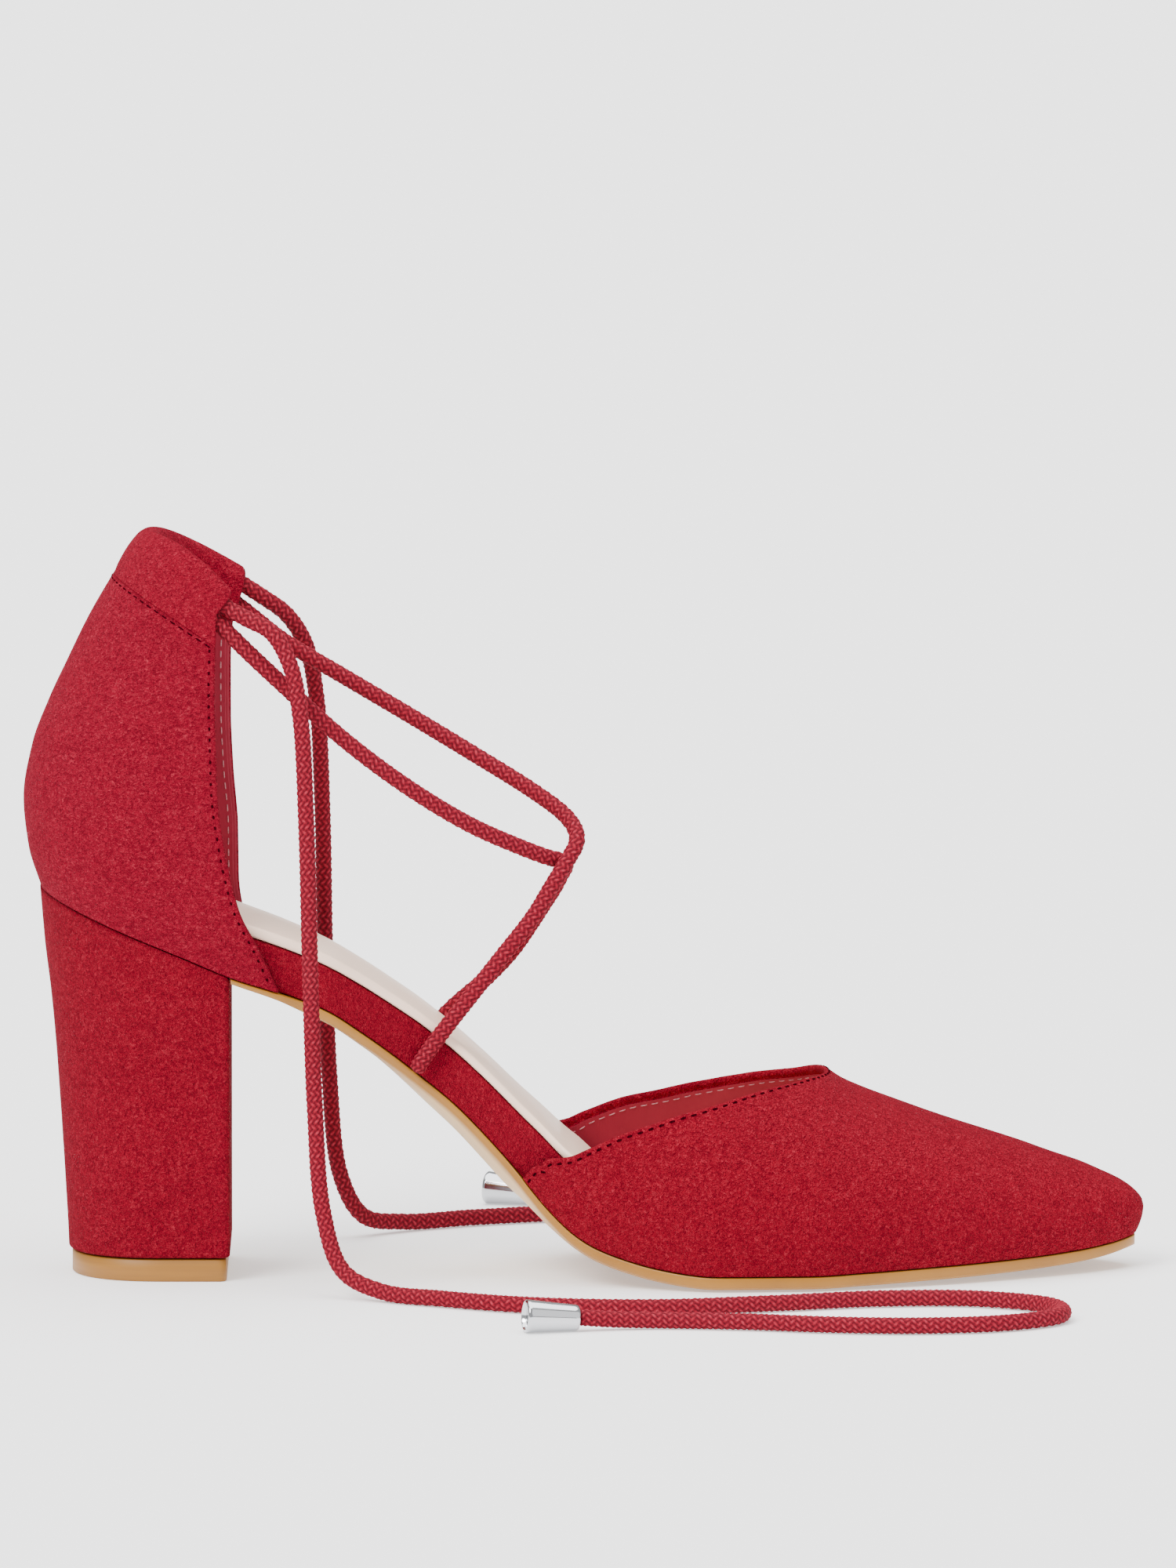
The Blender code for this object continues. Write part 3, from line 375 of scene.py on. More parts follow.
# Outsole
# A moulded tan sole with a sanded, stained edge. It is thin under the heel's seat, thickest at the
# steep waist, where a wide polished bevel runs under it with the floor's reflection painted pale on
# it, and slightly crowned under the tread.
SHOE_LENGTH = CAD_BOX[1][0] - CAD_BOX[0][0]
SEAT_HEIGHT = 0.0822
BALL_WIDTH = 0.076
SOLE_THICKNESS = 0.0032
SOLE_SIDE = 0.0021
TREAD_BEVEL = 0.0006
WAIST_BEVEL = 0.0046
SOLE_EDGE_INSET = 0.0002
SOLE_EDGE_ROUND = 0.25 * MM
TOE_ROUND = 0.040
SEAT_ROUND = 0.024
FEATHER_BACK_INSET = 0.0037
FEATHER_TOE_INSET = 0.0016
COUNTER_WALL = 0.0018
BREAST_STATION = 0.1845
# From the back (station 0) to the toe (station 1). rise: shares of the height from the ball to the
# seat. board: shares of BOARD_THICKNESS.
PROFILE_COLUMNS = ("station", "rise", "board")
PROFILE = (
    (0.0, 1.02, 0.9), (0.016, 1.0, 0.92), (0.081, 0.919, 0.95),
    (0.143, 0.842, 0.98), (0.185, 0.787, 0.97), (0.232, 0.738, 0.94),
    (0.272, 0.687, 0.92), (0.301, 0.63, 0.97), (0.329, 0.569, 1.02),
    (0.356, 0.505, 1.08), (0.384, 0.435, 1.1), (0.412, 0.351, 1.16),
    (0.44, 0.258, 1.24), (0.468, 0.16, 1.38), (0.491, 0.098, 1.36),
    (0.51, 0.065, 1.2), (0.538, 0.036, 0.88), (0.566, 0.016, 0.56),
    (0.594, 0.004, 0.37), (0.614, 0.0, 0.29), (0.71, 0.0, 0.25),
    (0.747, 0.003, 0.24), (0.818, 0.009, 0.24), (0.888, 0.015, 0.24),
    (0.941, 0.024, 0.24), (0.97, 0.034, 0.24), (1.0, 0.052, 0.24),
)
# half and swing (to the medial side): shares of BALL_WIDTH. tuck: how far the sole draws in under
# the bare waist. sole: its thickness, shares of SOLE_THICKNESS.
PLAN_COLUMNS = ("station", "half", "swing", "tuck", "sole")
PLAN = (
    (0.0, 0.336, 0.0, 0.0, 0.4), (0.08, 0.342, 0.0, 0.0, 0.4),
    (0.122, 0.342, 0.0, 0.0, 0.4), (0.185, 0.326, 0.0, 0.0, 0.4),
    (0.225, 0.306, 0.0, 0.0, 0.5), (0.255, 0.286, 0.0, 1.0, 0.85),
    (0.311, 0.261, -0.003, 1.0, 1.15), (0.374, 0.246, -0.01, 1.0, 1.8),
    (0.425, 0.268, -0.013, 1.0, 2.05), (0.45, 0.294, -0.012, 0.0, 1.65),
    (0.5, 0.375, -0.01, 0.0, 1.05), (0.563, 0.451, -0.005, 0.0, 1.0),
    (0.626, 0.5, 0.0, 0.0, 1.0), (0.689, 0.499, 0.01, 0.0, 1.0),
    (0.752, 0.458, 0.024, 0.0, 1.0), (0.815, 0.393, 0.038, 0.0, 1.0),
    (0.878, 0.318, 0.05, 0.0, 0.96), (0.941, 0.258, 0.06, 0.0, 0.88),
    (0.983, 0.224, 0.068, 0.0, 0.74), (1.0, 0.217, 0.071, 0.0, 0.62),
)
BACK_X = CAD_BOX[0][0]
TOE_X = CAD_BOX[1][0]
FEATHER_BACK = BACK_X + FEATHER_BACK_INSET
FEATHER_TOE = TOE_X - FEATHER_TOE_INSET
BREAST_X = BACK_X + BREAST_STATION * SHOE_LENGTH


def smooth_curve(xs, ys):
    """A curve through every point with no overshoot between them (monotone cubic)."""
    xs, ys = np.array([xs, ys], float)
    step = np.diff(xs)
    slope = np.diff(ys) / step
    both = slope[1:] * slope[:-1]
    turns = both <= 0
    tangent = np.concatenate([[slope[0]], np.zeros(len(slope) - 1), [slope[-1]]])
    tangent[1:-1] = np.where(turns, 0.0, 2 * both / np.where(turns, 1.0, slope[1:] + slope[:-1]))

    def value(x):
        x = np.clip(x, xs[0], xs[-1])
        k = np.clip(np.searchsorted(xs, x) - 1, 0, len(step) - 1)
        t = (x - xs[k]) / step[k]
        rise = step[k] * (t * (1 - t) ** 2 * tangent[k] - t**2 * (1 - t) * tangent[k + 1])
        return ys[k] * (1 + 2 * t) * (1 - t) ** 2 + ys[k + 1] * t**2 * (3 - 2 * t) + rise

    return value


def table_curves(columns, rows):
    """The columns of a table as smooth curves of its first column, by name."""
    data = np.array(rows)
    return {name: smooth_curve(data[:, 0], data[:, i + 1]) for i, name in enumerate(columns[1:])}


profile = table_curves(PROFILE_COLUMNS, PROFILE)
plan = table_curves(PLAN_COLUMNS, PLAN)


def station(x):
    """Share of the shoe's length at x: 0 at the back, 1 at the toe."""
    return (np.asarray(x, float) - BACK_X) / SHOE_LENGTH


def at_station(share):
    """The x of a share of the shoe's length."""
    return BACK_X + SHOE_LENGTH * share


def feather(x):
    """Height of the feather line, where upper meets sole."""
    return SOLE_THICKNESS + (SEAT_HEIGHT - SOLE_THICKNESS) * profile["rise"](station(x))


def swing(x):
    """Where the shoe's middle line lies, to the medial side."""
    return BALL_WIDTH * plan["swing"](station(x))


def round_end(distance, length, power=2.0):
    """0 at the end of a piece, 1 from its rounding's length on, along a superellipse."""
    left = np.clip(1 - np.maximum(distance, 0) / length, 0, 1)
    return (1 - left**power) ** (1 / power)


def plan_half(x, inset=0.0):
    """Half the feather outline's width, or of one that lies inset within it all round."""
    back = round_end(x - FEATHER_BACK - inset, SEAT_ROUND)
    toe = round_end(FEATHER_TOE - inset - x, TOE_ROUND)
    return (BALL_WIDTH * plan["half"](station(x)) - inset) * back * toe


def close_at_ends(start, end, count):
    """Places along X, close together at both ends: a cosine's steps."""
    return start + (end - start) * (1 - np.cos(np.linspace(0, math.pi, count))) / 2


def layer(name, x, right, left, finish, replaced, marks=None):
    """A flat layer: for each x a loop of (half width, height) down the right side and up the left."""
    loop = np.concatenate([right, left[::-1] * (-1, 1)], 0)
    points = np.empty((len(x), len(loop), 3))
    points[..., 0] = x[:, None]
    points[..., 1] = swing(x)[:, None] + loop[..., 0].T
    points[..., 2] = loop[..., 1].T
    piece(grid_mesh(name, points, ends=0, marks=marks), finish, replaced)


x = close_at_ends(BREAST_X + TOUCH_GAP, FEATHER_TOE - TOUCH_GAP, 320)
tuck = (COUNTER_WALL + TOUCH_GAP - SOLE_EDGE_INSET) * plan["tuck"](station(x))
half = np.maximum(plan_half(x) - SOLE_EDGE_INSET - tuck, 0.4 * MM)
top = feather(x)
thickness = SOLE_THICKNESS * plan["sole"](station(x))
edge = top - np.minimum(SOLE_SIDE, 0.8 * thickness)
low = top - thickness
waist = np.clip(thickness / SOLE_THICKNESS - 1, 0, 1)
bevel = np.minimum(TREAD_BEVEL + (WAIST_BEVEL - TREAD_BEVEL) * waist, half * 0.3)
turned = edge - (0.35 + 0.5 * waist) * (edge - low)
soft = np.minimum(SOLE_EDGE_ROUND, half * 0.1)
sole_side = np.array([
    (half - soft, top), (half - 0.3 * soft, top - 0.3 * soft), (half, top - soft), (half, edge + soft),
    (half - 0.15 * bevel, edge - 0.12 * (edge - turned)),
    (half - 0.45 * bevel, edge - 0.42 * (edge - turned)),
    (half - 0.9 * bevel, edge - 0.86 * (edge - turned)),
    (half - 1.3 * bevel, turned - 0.2 * (turned - low)),
    (0.60 * half, low + 0.02 * (turned - low)), (0.55 * half, low),
]).transpose(0, 2, 1)
# Painted reflection: how much of the floor's pale reflection each point of the section takes, full on the
# bevel and underside.
sole_reflection_share = np.array([0.0, 0.0, 0.0, 0.0, 0.35, 1.0, 1.0, 1.0, 1.0, 1.0])

# Moulded rubber with a stained edge: even tan with faint sanding lines, and a painted reflection of the floor
# in pale on the bevel.
SOLE_TAN = "#A06B1A"
SOLE_BROWN = "#855414"
SOLE_FLOOR_REFLECTION = "#E0BC88"
stained_rubber, add, shader, place = material("stained_sole_rubber", SOLE_TAN, 0.42)
drawn = add("Mapping", place, Scale=(0.04 / MM, 0.04 / MM, 1.6 / MM))
sanding = add("TexNoise", drawn, Scale=1.0, Detail=3.0)
blotch = add("TexNoise", place, Scale=0.09 / MM, Detail=3.0)
worn = add("MapRange", blotch, From_Min=0.4, From_Max=0.75, To_Max=0.45)
tan = add("MixRGB", worn, SOLE_TAN, SOLE_BROWN)
floor_reflection = add("Attribute", output="Fac", attribute_name="floor_reflection")
rough = add("Bump", Height=sanding, Strength=0.15, Distance=0.1 * MM)
set_inputs(shader, Base_Color=add("MixRGB", floor_reflection, tan, SOLE_FLOOR_REFLECTION), Normal=rough)

# The painted reflection is strongest under the waist and faint under the tread.
zones = np.concatenate([sole_reflection_share, sole_reflection_share[::-1]]) * np.clip(1.4 * waist, 0.1, 1)[:, None]
layer("outsole_tread", x, sole_side, sole_side, stained_rubber, "outsole", {"floor_reflection": zones})

# Insole board
# A fibre board wrapped in the upper's suede. Its edge is the bare red band of the waist, between the
# counter and the vamp; its ends run on inside both.
BOARD_THICKNESS = 0.0100
BOARD_CANT = 0.030
BOARD_EDGE_ROUND = 0.0009
TOE_CLEARANCE = 0.0018
SUEDE_RED = "#8B0921"
# The deep colour is painted shade between the naps and also tints random patches; the pale one is a painted
# highlight on the naps' tips.
SUEDE_SHADE_AND_PATCHES = "#4A0210"
SUEDE_TIP_HIGHLIGHT = "#BC3A4A"


def suede(name, middle, deep, pale, nap=0.86 * MM, relief=1.0 * MM, brushed=(1.0, 1.0, 1.0)):
    """Brushed microfibre suede: curled naps with painted shade between them and a painted highlight on their
    tips.

    nap is a nap's length, relief its height, and brushed how it is packed along X, Y and Z.
    """
    made, add, shader, place = material(
        name, middle, 0.95, Sheen_Weight=0.03, Sheen_Tint="#FF6F80", Specular_IOR_Level=0.05
    )
    laid = add("Mapping", place, Scale=[b / nap for b in brushed])
    curls = add(
        "TexNoise", laid, noise_type="RIDGED_MULTIFRACTAL", Scale=1.0, Detail=0.6, Distortion=1.1, Offset=0.9,
        Gain=1.0,
    )
    tips = add("TexNoise", laid, Scale=1.9, Detail=1.0, Distortion=0.8)
    patches = add("TexNoise", place, Scale=0.045 / MM, Detail=2.0)
    # Painted shade in the hollows between the naps, and a painted highlight on their tips.
    pit_shade = add("MapRange", curls, From_Min=0.1, From_Max=0.42, To_Min=0.55)
    body = add("MixRGB", pit_shade, deep, middle)
    raised = add("MapRange", curls, From_Min=0.64, From_Max=0.80, To_Max=0.33)
    tipped = add("MixRGB", raised, body, pale)
    stroked = add("MapRange", patches, From_Min=0.4, From_Max=0.7, To_Max=0.08)
    height = add("Math", curls, 0.5, tips, operation="MULTIPLY_ADD")
    set_inputs(
        shader, Base_Color=add("MixRGB", stroked, tipped, deep),
        Normal=add("Bump", Height=height, Strength=1.0, Distance=relief),
    )
    return made


def board_base(x, across):
    """Underside of the board, level all across."""
    return feather(x) + TOUCH_GAP


def board_top(x, across):
    """Top of the board, canted to the medial side. across: -1 its lateral edge, 1 its medial edge."""
    cant = BOARD_CANT * plan_half(x, COUNTER_WALL + TOUCH_GAP) * (1 + across)
    return feather(x) + TOUCH_GAP + BOARD_THICKNESS * profile["board"](station(x)) - cant


def slab(name, inset, low, high, edge_round, steps, finish, replaced):
    """A layer between the surfaces low and high, inset within the feather outline.

    To each side its section has a top of even steps from the middle, an edge rounded as a quarter of
    a circle, and its underside.
    """
    x = close_at_ends(FEATHER_BACK + inset + TOUCH_GAP, FEATHER_TOE - inset - TOE_CLEARANCE, 360)
    half = np.maximum(plan_half(x, inset), 1.2 * MM)
    soft = np.minimum(edge_round, half * 0.3)
    sides = []
    for way in (1, -1):
        top, bottom = high(x, way), low(x, way)
        points = [(half * s - soft * s, high(x, way * s)) for s in np.linspace(0.02, 1, steps)]
        for a in np.linspace(0, math.pi / 2, 7)[1:]:
            points.append((half - soft + soft * np.sin(a), top - soft + soft * np.cos(a)))
        points += [(half, bottom + 0.4 * soft), (half - 0.4 * soft, bottom)]
        points.append((half * 0.5, (bottom + low(x, 0)) / 2))
        sides.append(np.array(points).transpose(0, 2, 1))
    layer(name, x, *sides, finish, replaced)


# Wrapped suede: the cloth is drawn tight round the edge, so its nap is packed closer along the shoe.
wrapped_suede = suede("wrapped_suede", "#970D26", "#4A0210", "#B83A48", brushed=(2.0, 1.2, 1.0))
inset = COUNTER_WALL + TOUCH_GAP
slab("insole_board_wrap", inset, board_base, board_top, BOARD_EDGE_ROUND, 8, wrapped_suede, "insole_board")

# Sock
# A thin foam layer under smooth cream sheet leather, laid over the board, turned over its edge and
# glued down from heel to toe.
SOCK_THICKNESS = 0.0024
SOCK_CROWN = 0.0007
SOCK_EDGE_ROUND = 0.0012
SOCK_INSET = 0.0002
SOCK_CREAM = "#FFDFC8"
SOCK_SHADE = "#FBD0B4"


def sock_base(x, across):
    """Underside of the sock, just clear of the board."""
    return board_top(x, across) + TOUCH_GAP


def sock_top(x, across):
    """Top of the padded layer on the board, highest along its middle."""
    return board_top(x, across) + TOUCH_GAP + SOCK_THICKNESS + SOCK_CROWN * (1 - across**2)


# Sock leather: smooth and cream, with a dull shine, faint pores and slightly warmer patches.
smooth_leather, add, shader, place = material("smooth_sock_leather", SOCK_CREAM, 0.38, Coat_Weight=0.08)
grain = add("TexVoronoi", place, Scale=1.4 / MM)
tone = add("TexNoise", place, Scale=0.055 / MM, Detail=3.0)
mottle = add("MapRange", tone, From_Min=0.4, From_Max=0.75, To_Max=0.4)
pores = add("Bump", Height=grain, Strength=0.12, Distance=0.08 * MM)
set_inputs(shader, Base_Color=add("MixRGB", mottle, SOCK_CREAM, SOCK_SHADE), Normal=pores)

inset = COUNTER_WALL + TOUCH_GAP + SOCK_INSET
slab("sock_lining", inset, sock_base, sock_top, SOCK_EDGE_ROUND, 12, smooth_leather, "insole_sock")

# Heel block
# A moulded block wrapped in the same suede, narrower at its base, with the covering turned in over
# a straight breast. Its top is cut to the slope of the seat.
BREAST_CORNER = 0.0016
HEEL_BASE_WIDTH = 0.0425
HEEL_BASE_ROUND = 0.020
HEEL_UNDERCUT = 0.0060
HEEL_EDGE_ROUND = 0.0008
LIFT_THICKNESS = 0.0048
LIFT_INSET = 0.0007
# From the base (0) to the top (1). spread: 0 is the outline of the base, 1 the outline of the seat.
HEEL_PROFILE = (
    (0.0, 0.0), (0.06, 0.03), (0.19, 0.12), (0.32, 0.22), (0.45, 0.33),
    (0.58, 0.45), (0.72, 0.62), (0.85, 0.83), (1.0, 1.0),
)


def heel_outline(spread, inset=0.0, points=60):
    """D-shaped ring in plan, from the base's outline (spread 0) to the seat's (spread 1)."""
    back = FEATHER_BACK - SOLE_EDGE_INSET + HEEL_UNDERCUT * (1 - spread) + inset
    breast = BREAST_X - inset
    x = close_at_ends(back, breast - BREAST_CORNER, 200)
    base = HEEL_BASE_WIDTH / 2 * round_end(x - back, HEEL_BASE_ROUND, 2.3)
    seat = (BALL_WIDTH * plan["half"](station(x)) - SOLE_EDGE_INSET) * round_end(x - back, SEAT_ROUND)
    half = np.maximum(base + (seat - base) * spread - inset * (x > back), 0)
    turn = np.linspace(0, math.pi / 2, 9)[1:]
    corner = BREAST_CORNER * np.stack([np.sin(turn), np.cos(turn)], 1)
    corner = np.array([breast, half[-1]]) - BREAST_CORNER + corner
    curve = np.stack([x, half], 1)
    along = lengths_along(curve)
    curve = at_lengths(np.linspace(0, along[-1], points), along, curve)
    right = np.concatenate([curve, corner, [[breast, corner[-1, 1] * 0.5]]])
    return np.concatenate([right, right[::-1] * (1, -1)])


heel_spread = smooth_curve(*zip(*HEEL_PROFILE))
heel_base = LIFT_THICKNESS + TOUCH_GAP
turn = np.linspace(0, math.pi / 2, 6)
edge_shares = HEEL_EDGE_ROUND * (1 - np.cos(turn)) / (SEAT_HEIGHT - heel_base)
shares = np.concatenate([edge_shares, np.linspace(0.02, 1, 60)])
insets = np.concatenate([HEEL_EDGE_ROUND * (1 - np.sin(turn)), np.zeros(60)])
rings = np.array([heel_outline(heel_spread(s), i) for s, i in zip(shares, insets)])
heights = heel_base + (feather(rings[..., 0]) - heel_base) * shares[:, None]
# Heel suede: the same cloth, painted a shade deeper for the shade on the block's sides, which face away from
# the light.
shaded_heel_suede = suede("shaded_heel_suede", "#860921", "#48020F", "#B43644")
mesh = grid_mesh("heel_block_cover", np.concatenate([rings, heights[..., None]], -1), ends=0)
piece(mesh, shaded_heel_suede, "heel_block")

# Top lift
# The heel's wearing piece: a flat plate of hard tan rubber, nailed and glued under the block, its
# side sanded level with the covering.
LIFT_TAN = "#95641A"
LIFT_BROWN = "#84561C"
LIFT_EDGE = 0.25 * MM
# Lift rubber: dull tan, with fine level sanding lines in a darker brown.
lift_rubber, add, shader, place = material("lift_rubber", LIFT_TAN, 0.5)
drawn = add("Mapping", place, Scale=(0.06 / MM, 0.06 / MM, 1.5 / MM))
sanding = add("TexNoise", drawn, Scale=1.0, Detail=4.0)
wear_and_highlight = add("MapRange", sanding, From_Min=0.35, From_Max=0.7, To_Max=0.5)
set_inputs(shader, Base_Color=add("MixRGB", wear_and_highlight, LIFT_TAN, LIFT_BROWN))
levels = [(0.0, LIFT_EDGE), (LIFT_EDGE, 0.0), (LIFT_THICKNESS - LIFT_EDGE, 0.0), (LIFT_THICKNESS, LIFT_EDGE)]
rings = np.array([heel_outline(0.0, LIFT_INSET + i) for _, i in levels])
heights = np.broadcast_to(np.array([z for z, _ in levels])[:, None, None], rings.shape[:2] + (1,))
mesh = grid_mesh("top_lift_plate", np.concatenate([rings, heights], -1), ends=0)
piece(mesh, lift_rubber, "heel_top_lift")

# Vamp
# The pointed toe piece: suede over a thin stiffener, lined with smooth fabric. Its opening is a
# folded suede edge, stitched all along, with the lining's own edge just inside.
VAMP_WALL = 0.0015
VAMP_RISE = 0.0402
SIDE_HEIGHT = 0.0075
SIDE_SWELL = 0.0019
NOSE_ROUND = 0.0080
FOLD_DEPTH = 0.8 * MM
LINING_STEP = 0.22 * MM
STITCH_PITCH = 2.4 * MM
# ridge: the top above the feather line, shares of VAMP_RISE. side: height of the widest place,
# shares of SIDE_HEIGHT. power: 2 is an ellipse, more is fuller.
VAMP_COLUMNS = ("station", "ridge", "side", "power")
VAMP_SECTIONS = (
    (0.44, 1.34, 1.08, 1.95), (0.5, 1.48, 1.06, 1.95),
    (0.57, 1.375, 1.02, 2.0), (0.64, 1.185, 1.0, 2.05),
    (0.685, 1.06, 1.0, 2.08), (0.715, 0.977, 1.0, 2.1),
    (0.73, 0.917, 1.0, 2.1), (0.748, 0.865, 1.0, 2.1),
    (0.776, 0.797, 0.98, 2.1), (0.818, 0.7, 0.95, 2.08),
    (0.888, 0.555, 0.88, 2.04), (0.916, 0.488, 0.85, 2.02),
    (0.944, 0.421, 0.81, 2.0), (0.972, 0.33, 0.77, 2.0),
    (0.986, 0.292, 0.74, 2.0), (1.0, 0.252, 0.72, 2.0),
)
# Edge of the opening. height: -1 feather line, 0 widest place, 1 ridge. Stations by side.
TOPLINE_COLUMNS = ("height", "lateral", "medial")
TOPLINE = (
    (-1.0, 0.444, 0.439), (0.0, 0.461, 0.458),
    (0.2, 0.494, 0.49), (0.35, 0.527, 0.527),
    (0.5, 0.568, 0.579), (0.7, 0.627, 0.646),
    (0.85, 0.67, 0.688), (1.0, 0.714, 0.714),
)
vamp_section = table_curves(VAMP_COLUMNS, VAMP_SECTIONS)
topline = table_curves(TOPLINE_COLUMNS, TOPLINE)


def vamp_point(height, side, along, inset):
    """The vamp's own surface, or one that lies inset within it.

    height: -1 feather line, 0 widest place, 1 ridge. side: -1 lateral, 1 medial.
    along: 0 edge of the opening, 1 toe.
    """
    low = np.clip(-height, 0, 1)
    high = np.clip(height, 0, 1)
    edge = np.where(side < 0, topline["lateral"](height), topline["medial"](height))
    toe = TOE_X - FEATHER_TOE_INSET * low**2 - inset
    start = at_station(edge)
    x = start + (toe - start) * along
    at = station(x)
    power = vamp_section["power"](at)
    widest = SIDE_HEIGHT * vamp_section["side"](at)
    ridge = VAMP_RISE * vamp_section["ridge"](at)
    half = BALL_WIDTH * plan["half"](at) + SIDE_SWELL - inset
    across = (1 - high**power) ** (1 / power) - low**2 * SIDE_SWELL / half
    lift = (ridge - widest - inset) * round_end(toe - x, NOSE_ROUND) * high
    z = feather(x) + TOUCH_GAP + widest * (1 - low) + lift
    return np.stack([x, swing(x) + side * half * round_end(toe - x, TOE_ROUND) * across, z], -1)


def vamp_from_edge(height, side, distance, inset):
    """Points of the vamp at a distance from its opening, measured square to the opening's edge.

    A step along X by distance / sine of the angle between X's run and the edge goes that far. Given
    with the direction into the vamp and the share of the way to the toe.
    """
    on_edge = vamp_point(height, side, 0.0, 0.0)
    run = unit(vamp_point(height, side, 0.02, 0.0) - on_edge)
    edge = unit(np.gradient(on_edge, axis=0))
    sine = np.linalg.norm(np.cross(run, edge), axis=-1)
    share = distance / np.maximum(sine, 0.35) / (TOE_X - on_edge[:, 0])
    inward = unit(run - edge * np.sum(run * edge, -1, keepdims=True))
    return vamp_point(height, side, share, inset), inward, share


rows = np.concatenate([np.linspace(-1, 0, 12)[:-1], np.sin(np.linspace(0, math.pi / 2, 70))])
height = np.concatenate([rows, rows[-2::-1]])
side = np.concatenate([-np.ones(len(rows)), np.ones(len(rows) - 1)])
near_edge = np.concatenate([np.arange(0.0, 2.4, 0.12), np.arange(2.4, 5.0, 0.4)]) * MM
step = np.linspace(0, 1, 110)[1:]
to_toe = 0.6 * step + 0.4 * (1 - (1 - step) ** 2.2)


def vamp_sheet(inset_near, inset_far):
    """Columns of vamp points from half a wall inside the edge to the toe, for insets by distance."""
    columns = []
    for distance in near_edge:
        inset = inset_near if distance < FOLD_DEPTH else inset_far
        columns.append(vamp_from_edge(height, side, distance + VAMP_WALL / 2, inset)[0])
    last = vamp_from_edge(height, side, near_edge[-1] + VAMP_WALL / 2, inset_far)[2]
    columns += [vamp_point(height, side, last + (1 - last) * s, inset_far) for s in to_toe]
    return np.stack(columns, 1)


outer = vamp_sheet(0.0, 0.0)
inner = vamp_sheet(VAMP_WALL, VAMP_WALL + LINING_STEP)
inward = vamp_from_edge(height, side, 0.0, 0.0)[1][:, None]
theta = np.linspace(0, math.pi, 11)[1:-1, None]
middle = (outer[:, :1] + inner[:, :1]) / 2
fold = middle + (outer[:, :1] - middle) * np.cos(theta) - inward * VAMP_WALL / 2 * np.sin(theta)
sheet = np.concatenate([outer[:, ::-1], fold, inner], 1)
count = outer.shape[1]
lined = np.arange(sheet.shape[1]) >= count + len(theta) + np.sum(near_edge < FOLD_DEPTH)

# Vamp suede: the brushed cloth with an even nap, a lively red where the toe's curve meets the light.
vamp_suede = suede("vamp_suede", SUEDE_RED, SUEDE_SHADE_AND_PATCHES, SUEDE_TIP_HIGHLIGHT)

# Lining: a close, smooth fabric with a satin lustre, pinkish where it catches the light.
LINING_RED = "#91102E"
LINING_DEEP = "#780621"
satin_lining, add, shader, place = material(
    "satin_lining", LINING_RED, 0.58, Sheen_Weight=0.06, Sheen_Tint="#FFC0C4", Specular_IOR_Level=0.3
)
weave = add("TexWave", place, output="Fac", Scale=0.9 / MM, Distortion=2.0, Detail=2.0)
drape = add("TexNoise", place, Scale=0.06 / MM, Detail=3.0)
folds = add("MapRange", drape, From_Min=0.35, From_Max=0.7, To_Max=0.7)
threads = add("Bump", Height=weave, Strength=0.15, Distance=0.05 * MM)
set_inputs(shader, Base_Color=add("MixRGB", folds, LINING_RED, LINING_DEEP), Normal=threads)

mesh = grid_mesh("vamp_shell", sheet, around=False, ends=count - 1, zones=lined[:-1] & lined[1:])
piece(mesh, vamp_suede, "vamp")
mesh.materials.append(satin_lining)


def sewing_thread(name, base, roughness, deep, pale, **settings):
    """Fine twisted polyester, its plies lighter and darker by turns."""
    made, add, shader, place = material(name, base, roughness, **settings)
    ply = add("TexNoise", place, Scale=4.0 / MM, Detail=2.0)
    shade = add("MapRange", ply, From_Min=0.35, From_Max=0.7)
    set_inputs(shader, Base_Color=add("MixRGB", shade, deep, pale))
    return made


# Dark thread: dark red thread pulled into the suede, painted near black for the shade of its sunk stitches,
# so that each is a short dark mark without any shine.
dark_thread = sewing_thread(
    "dark_sewing_thread", "#30040B", 1.0, "#1C0105", "#3A050E", Specular_IOR_Level=0.0
)
# Pale thread: the same row on the lining's side, a dull pink.
pale_thread = sewing_thread("pale_sewing_thread", "#C07C82", 0.7, "#9C5660", "#CC8A90")


def stitches(name, line, outward, pitch, length, width, rise, finish):
    """A row of sewn stitches: at each even place along a line, a flattened tube whose ends dive in.

    Each is length long and width wide. Its middle runs at rise * (1 - u**2) above the surface, u
    from -1 to 1 along it.
    """
    along = lengths_along(line)
    at = np.arange(pitch / 2, along[-1], pitch)
    centre = at_lengths(at, along, line)
    normal = unit(at_lengths(at, along, outward))
    run = at_lengths(at + 0.2 * MM, along, line) - centre
    run = unit(run - normal * np.sum(run * normal, -1, keepdims=True))
    aside = np.cross(normal, run)
    u = np.linspace(-1, 1, 11)[:, None, None]
    turn = np.linspace(0, math.tau, 11)[:-1, None]
    slim = np.sqrt(np.maximum(1 - u**4, 0.02)) * width / 2
    height = rise * (1 - u**2) - width * 0.3 * u**4
    run, aside, normal, centre = (v[:, None, None] for v in (run, aside, normal, centre))
    points = centre + run * u * length / 2 + normal * height
    points = points + (aside * np.cos(turn) + normal * np.sin(turn) * 0.7) * slim
    stitch_count, rings, ring = points.shape[:3]
    index = np.arange(stitch_count * rings * ring).reshape(stitch_count, rings, ring)
    after = np.roll(index, -1, axis=2)
    quads = np.stack([index[:, :-1], after[:, :-1], after[:, 1:], index[:, 1:]], -1).reshape(-1, 4)
    caps = index[:, 0, ::-1].tolist() + index[:, -1].tolist()
    mesh = bpy.data.meshes.new(name)
    mesh.from_pydata(points.reshape(-1, 3).tolist(), [], quads.tolist() + caps)
    piece(mesh, finish)


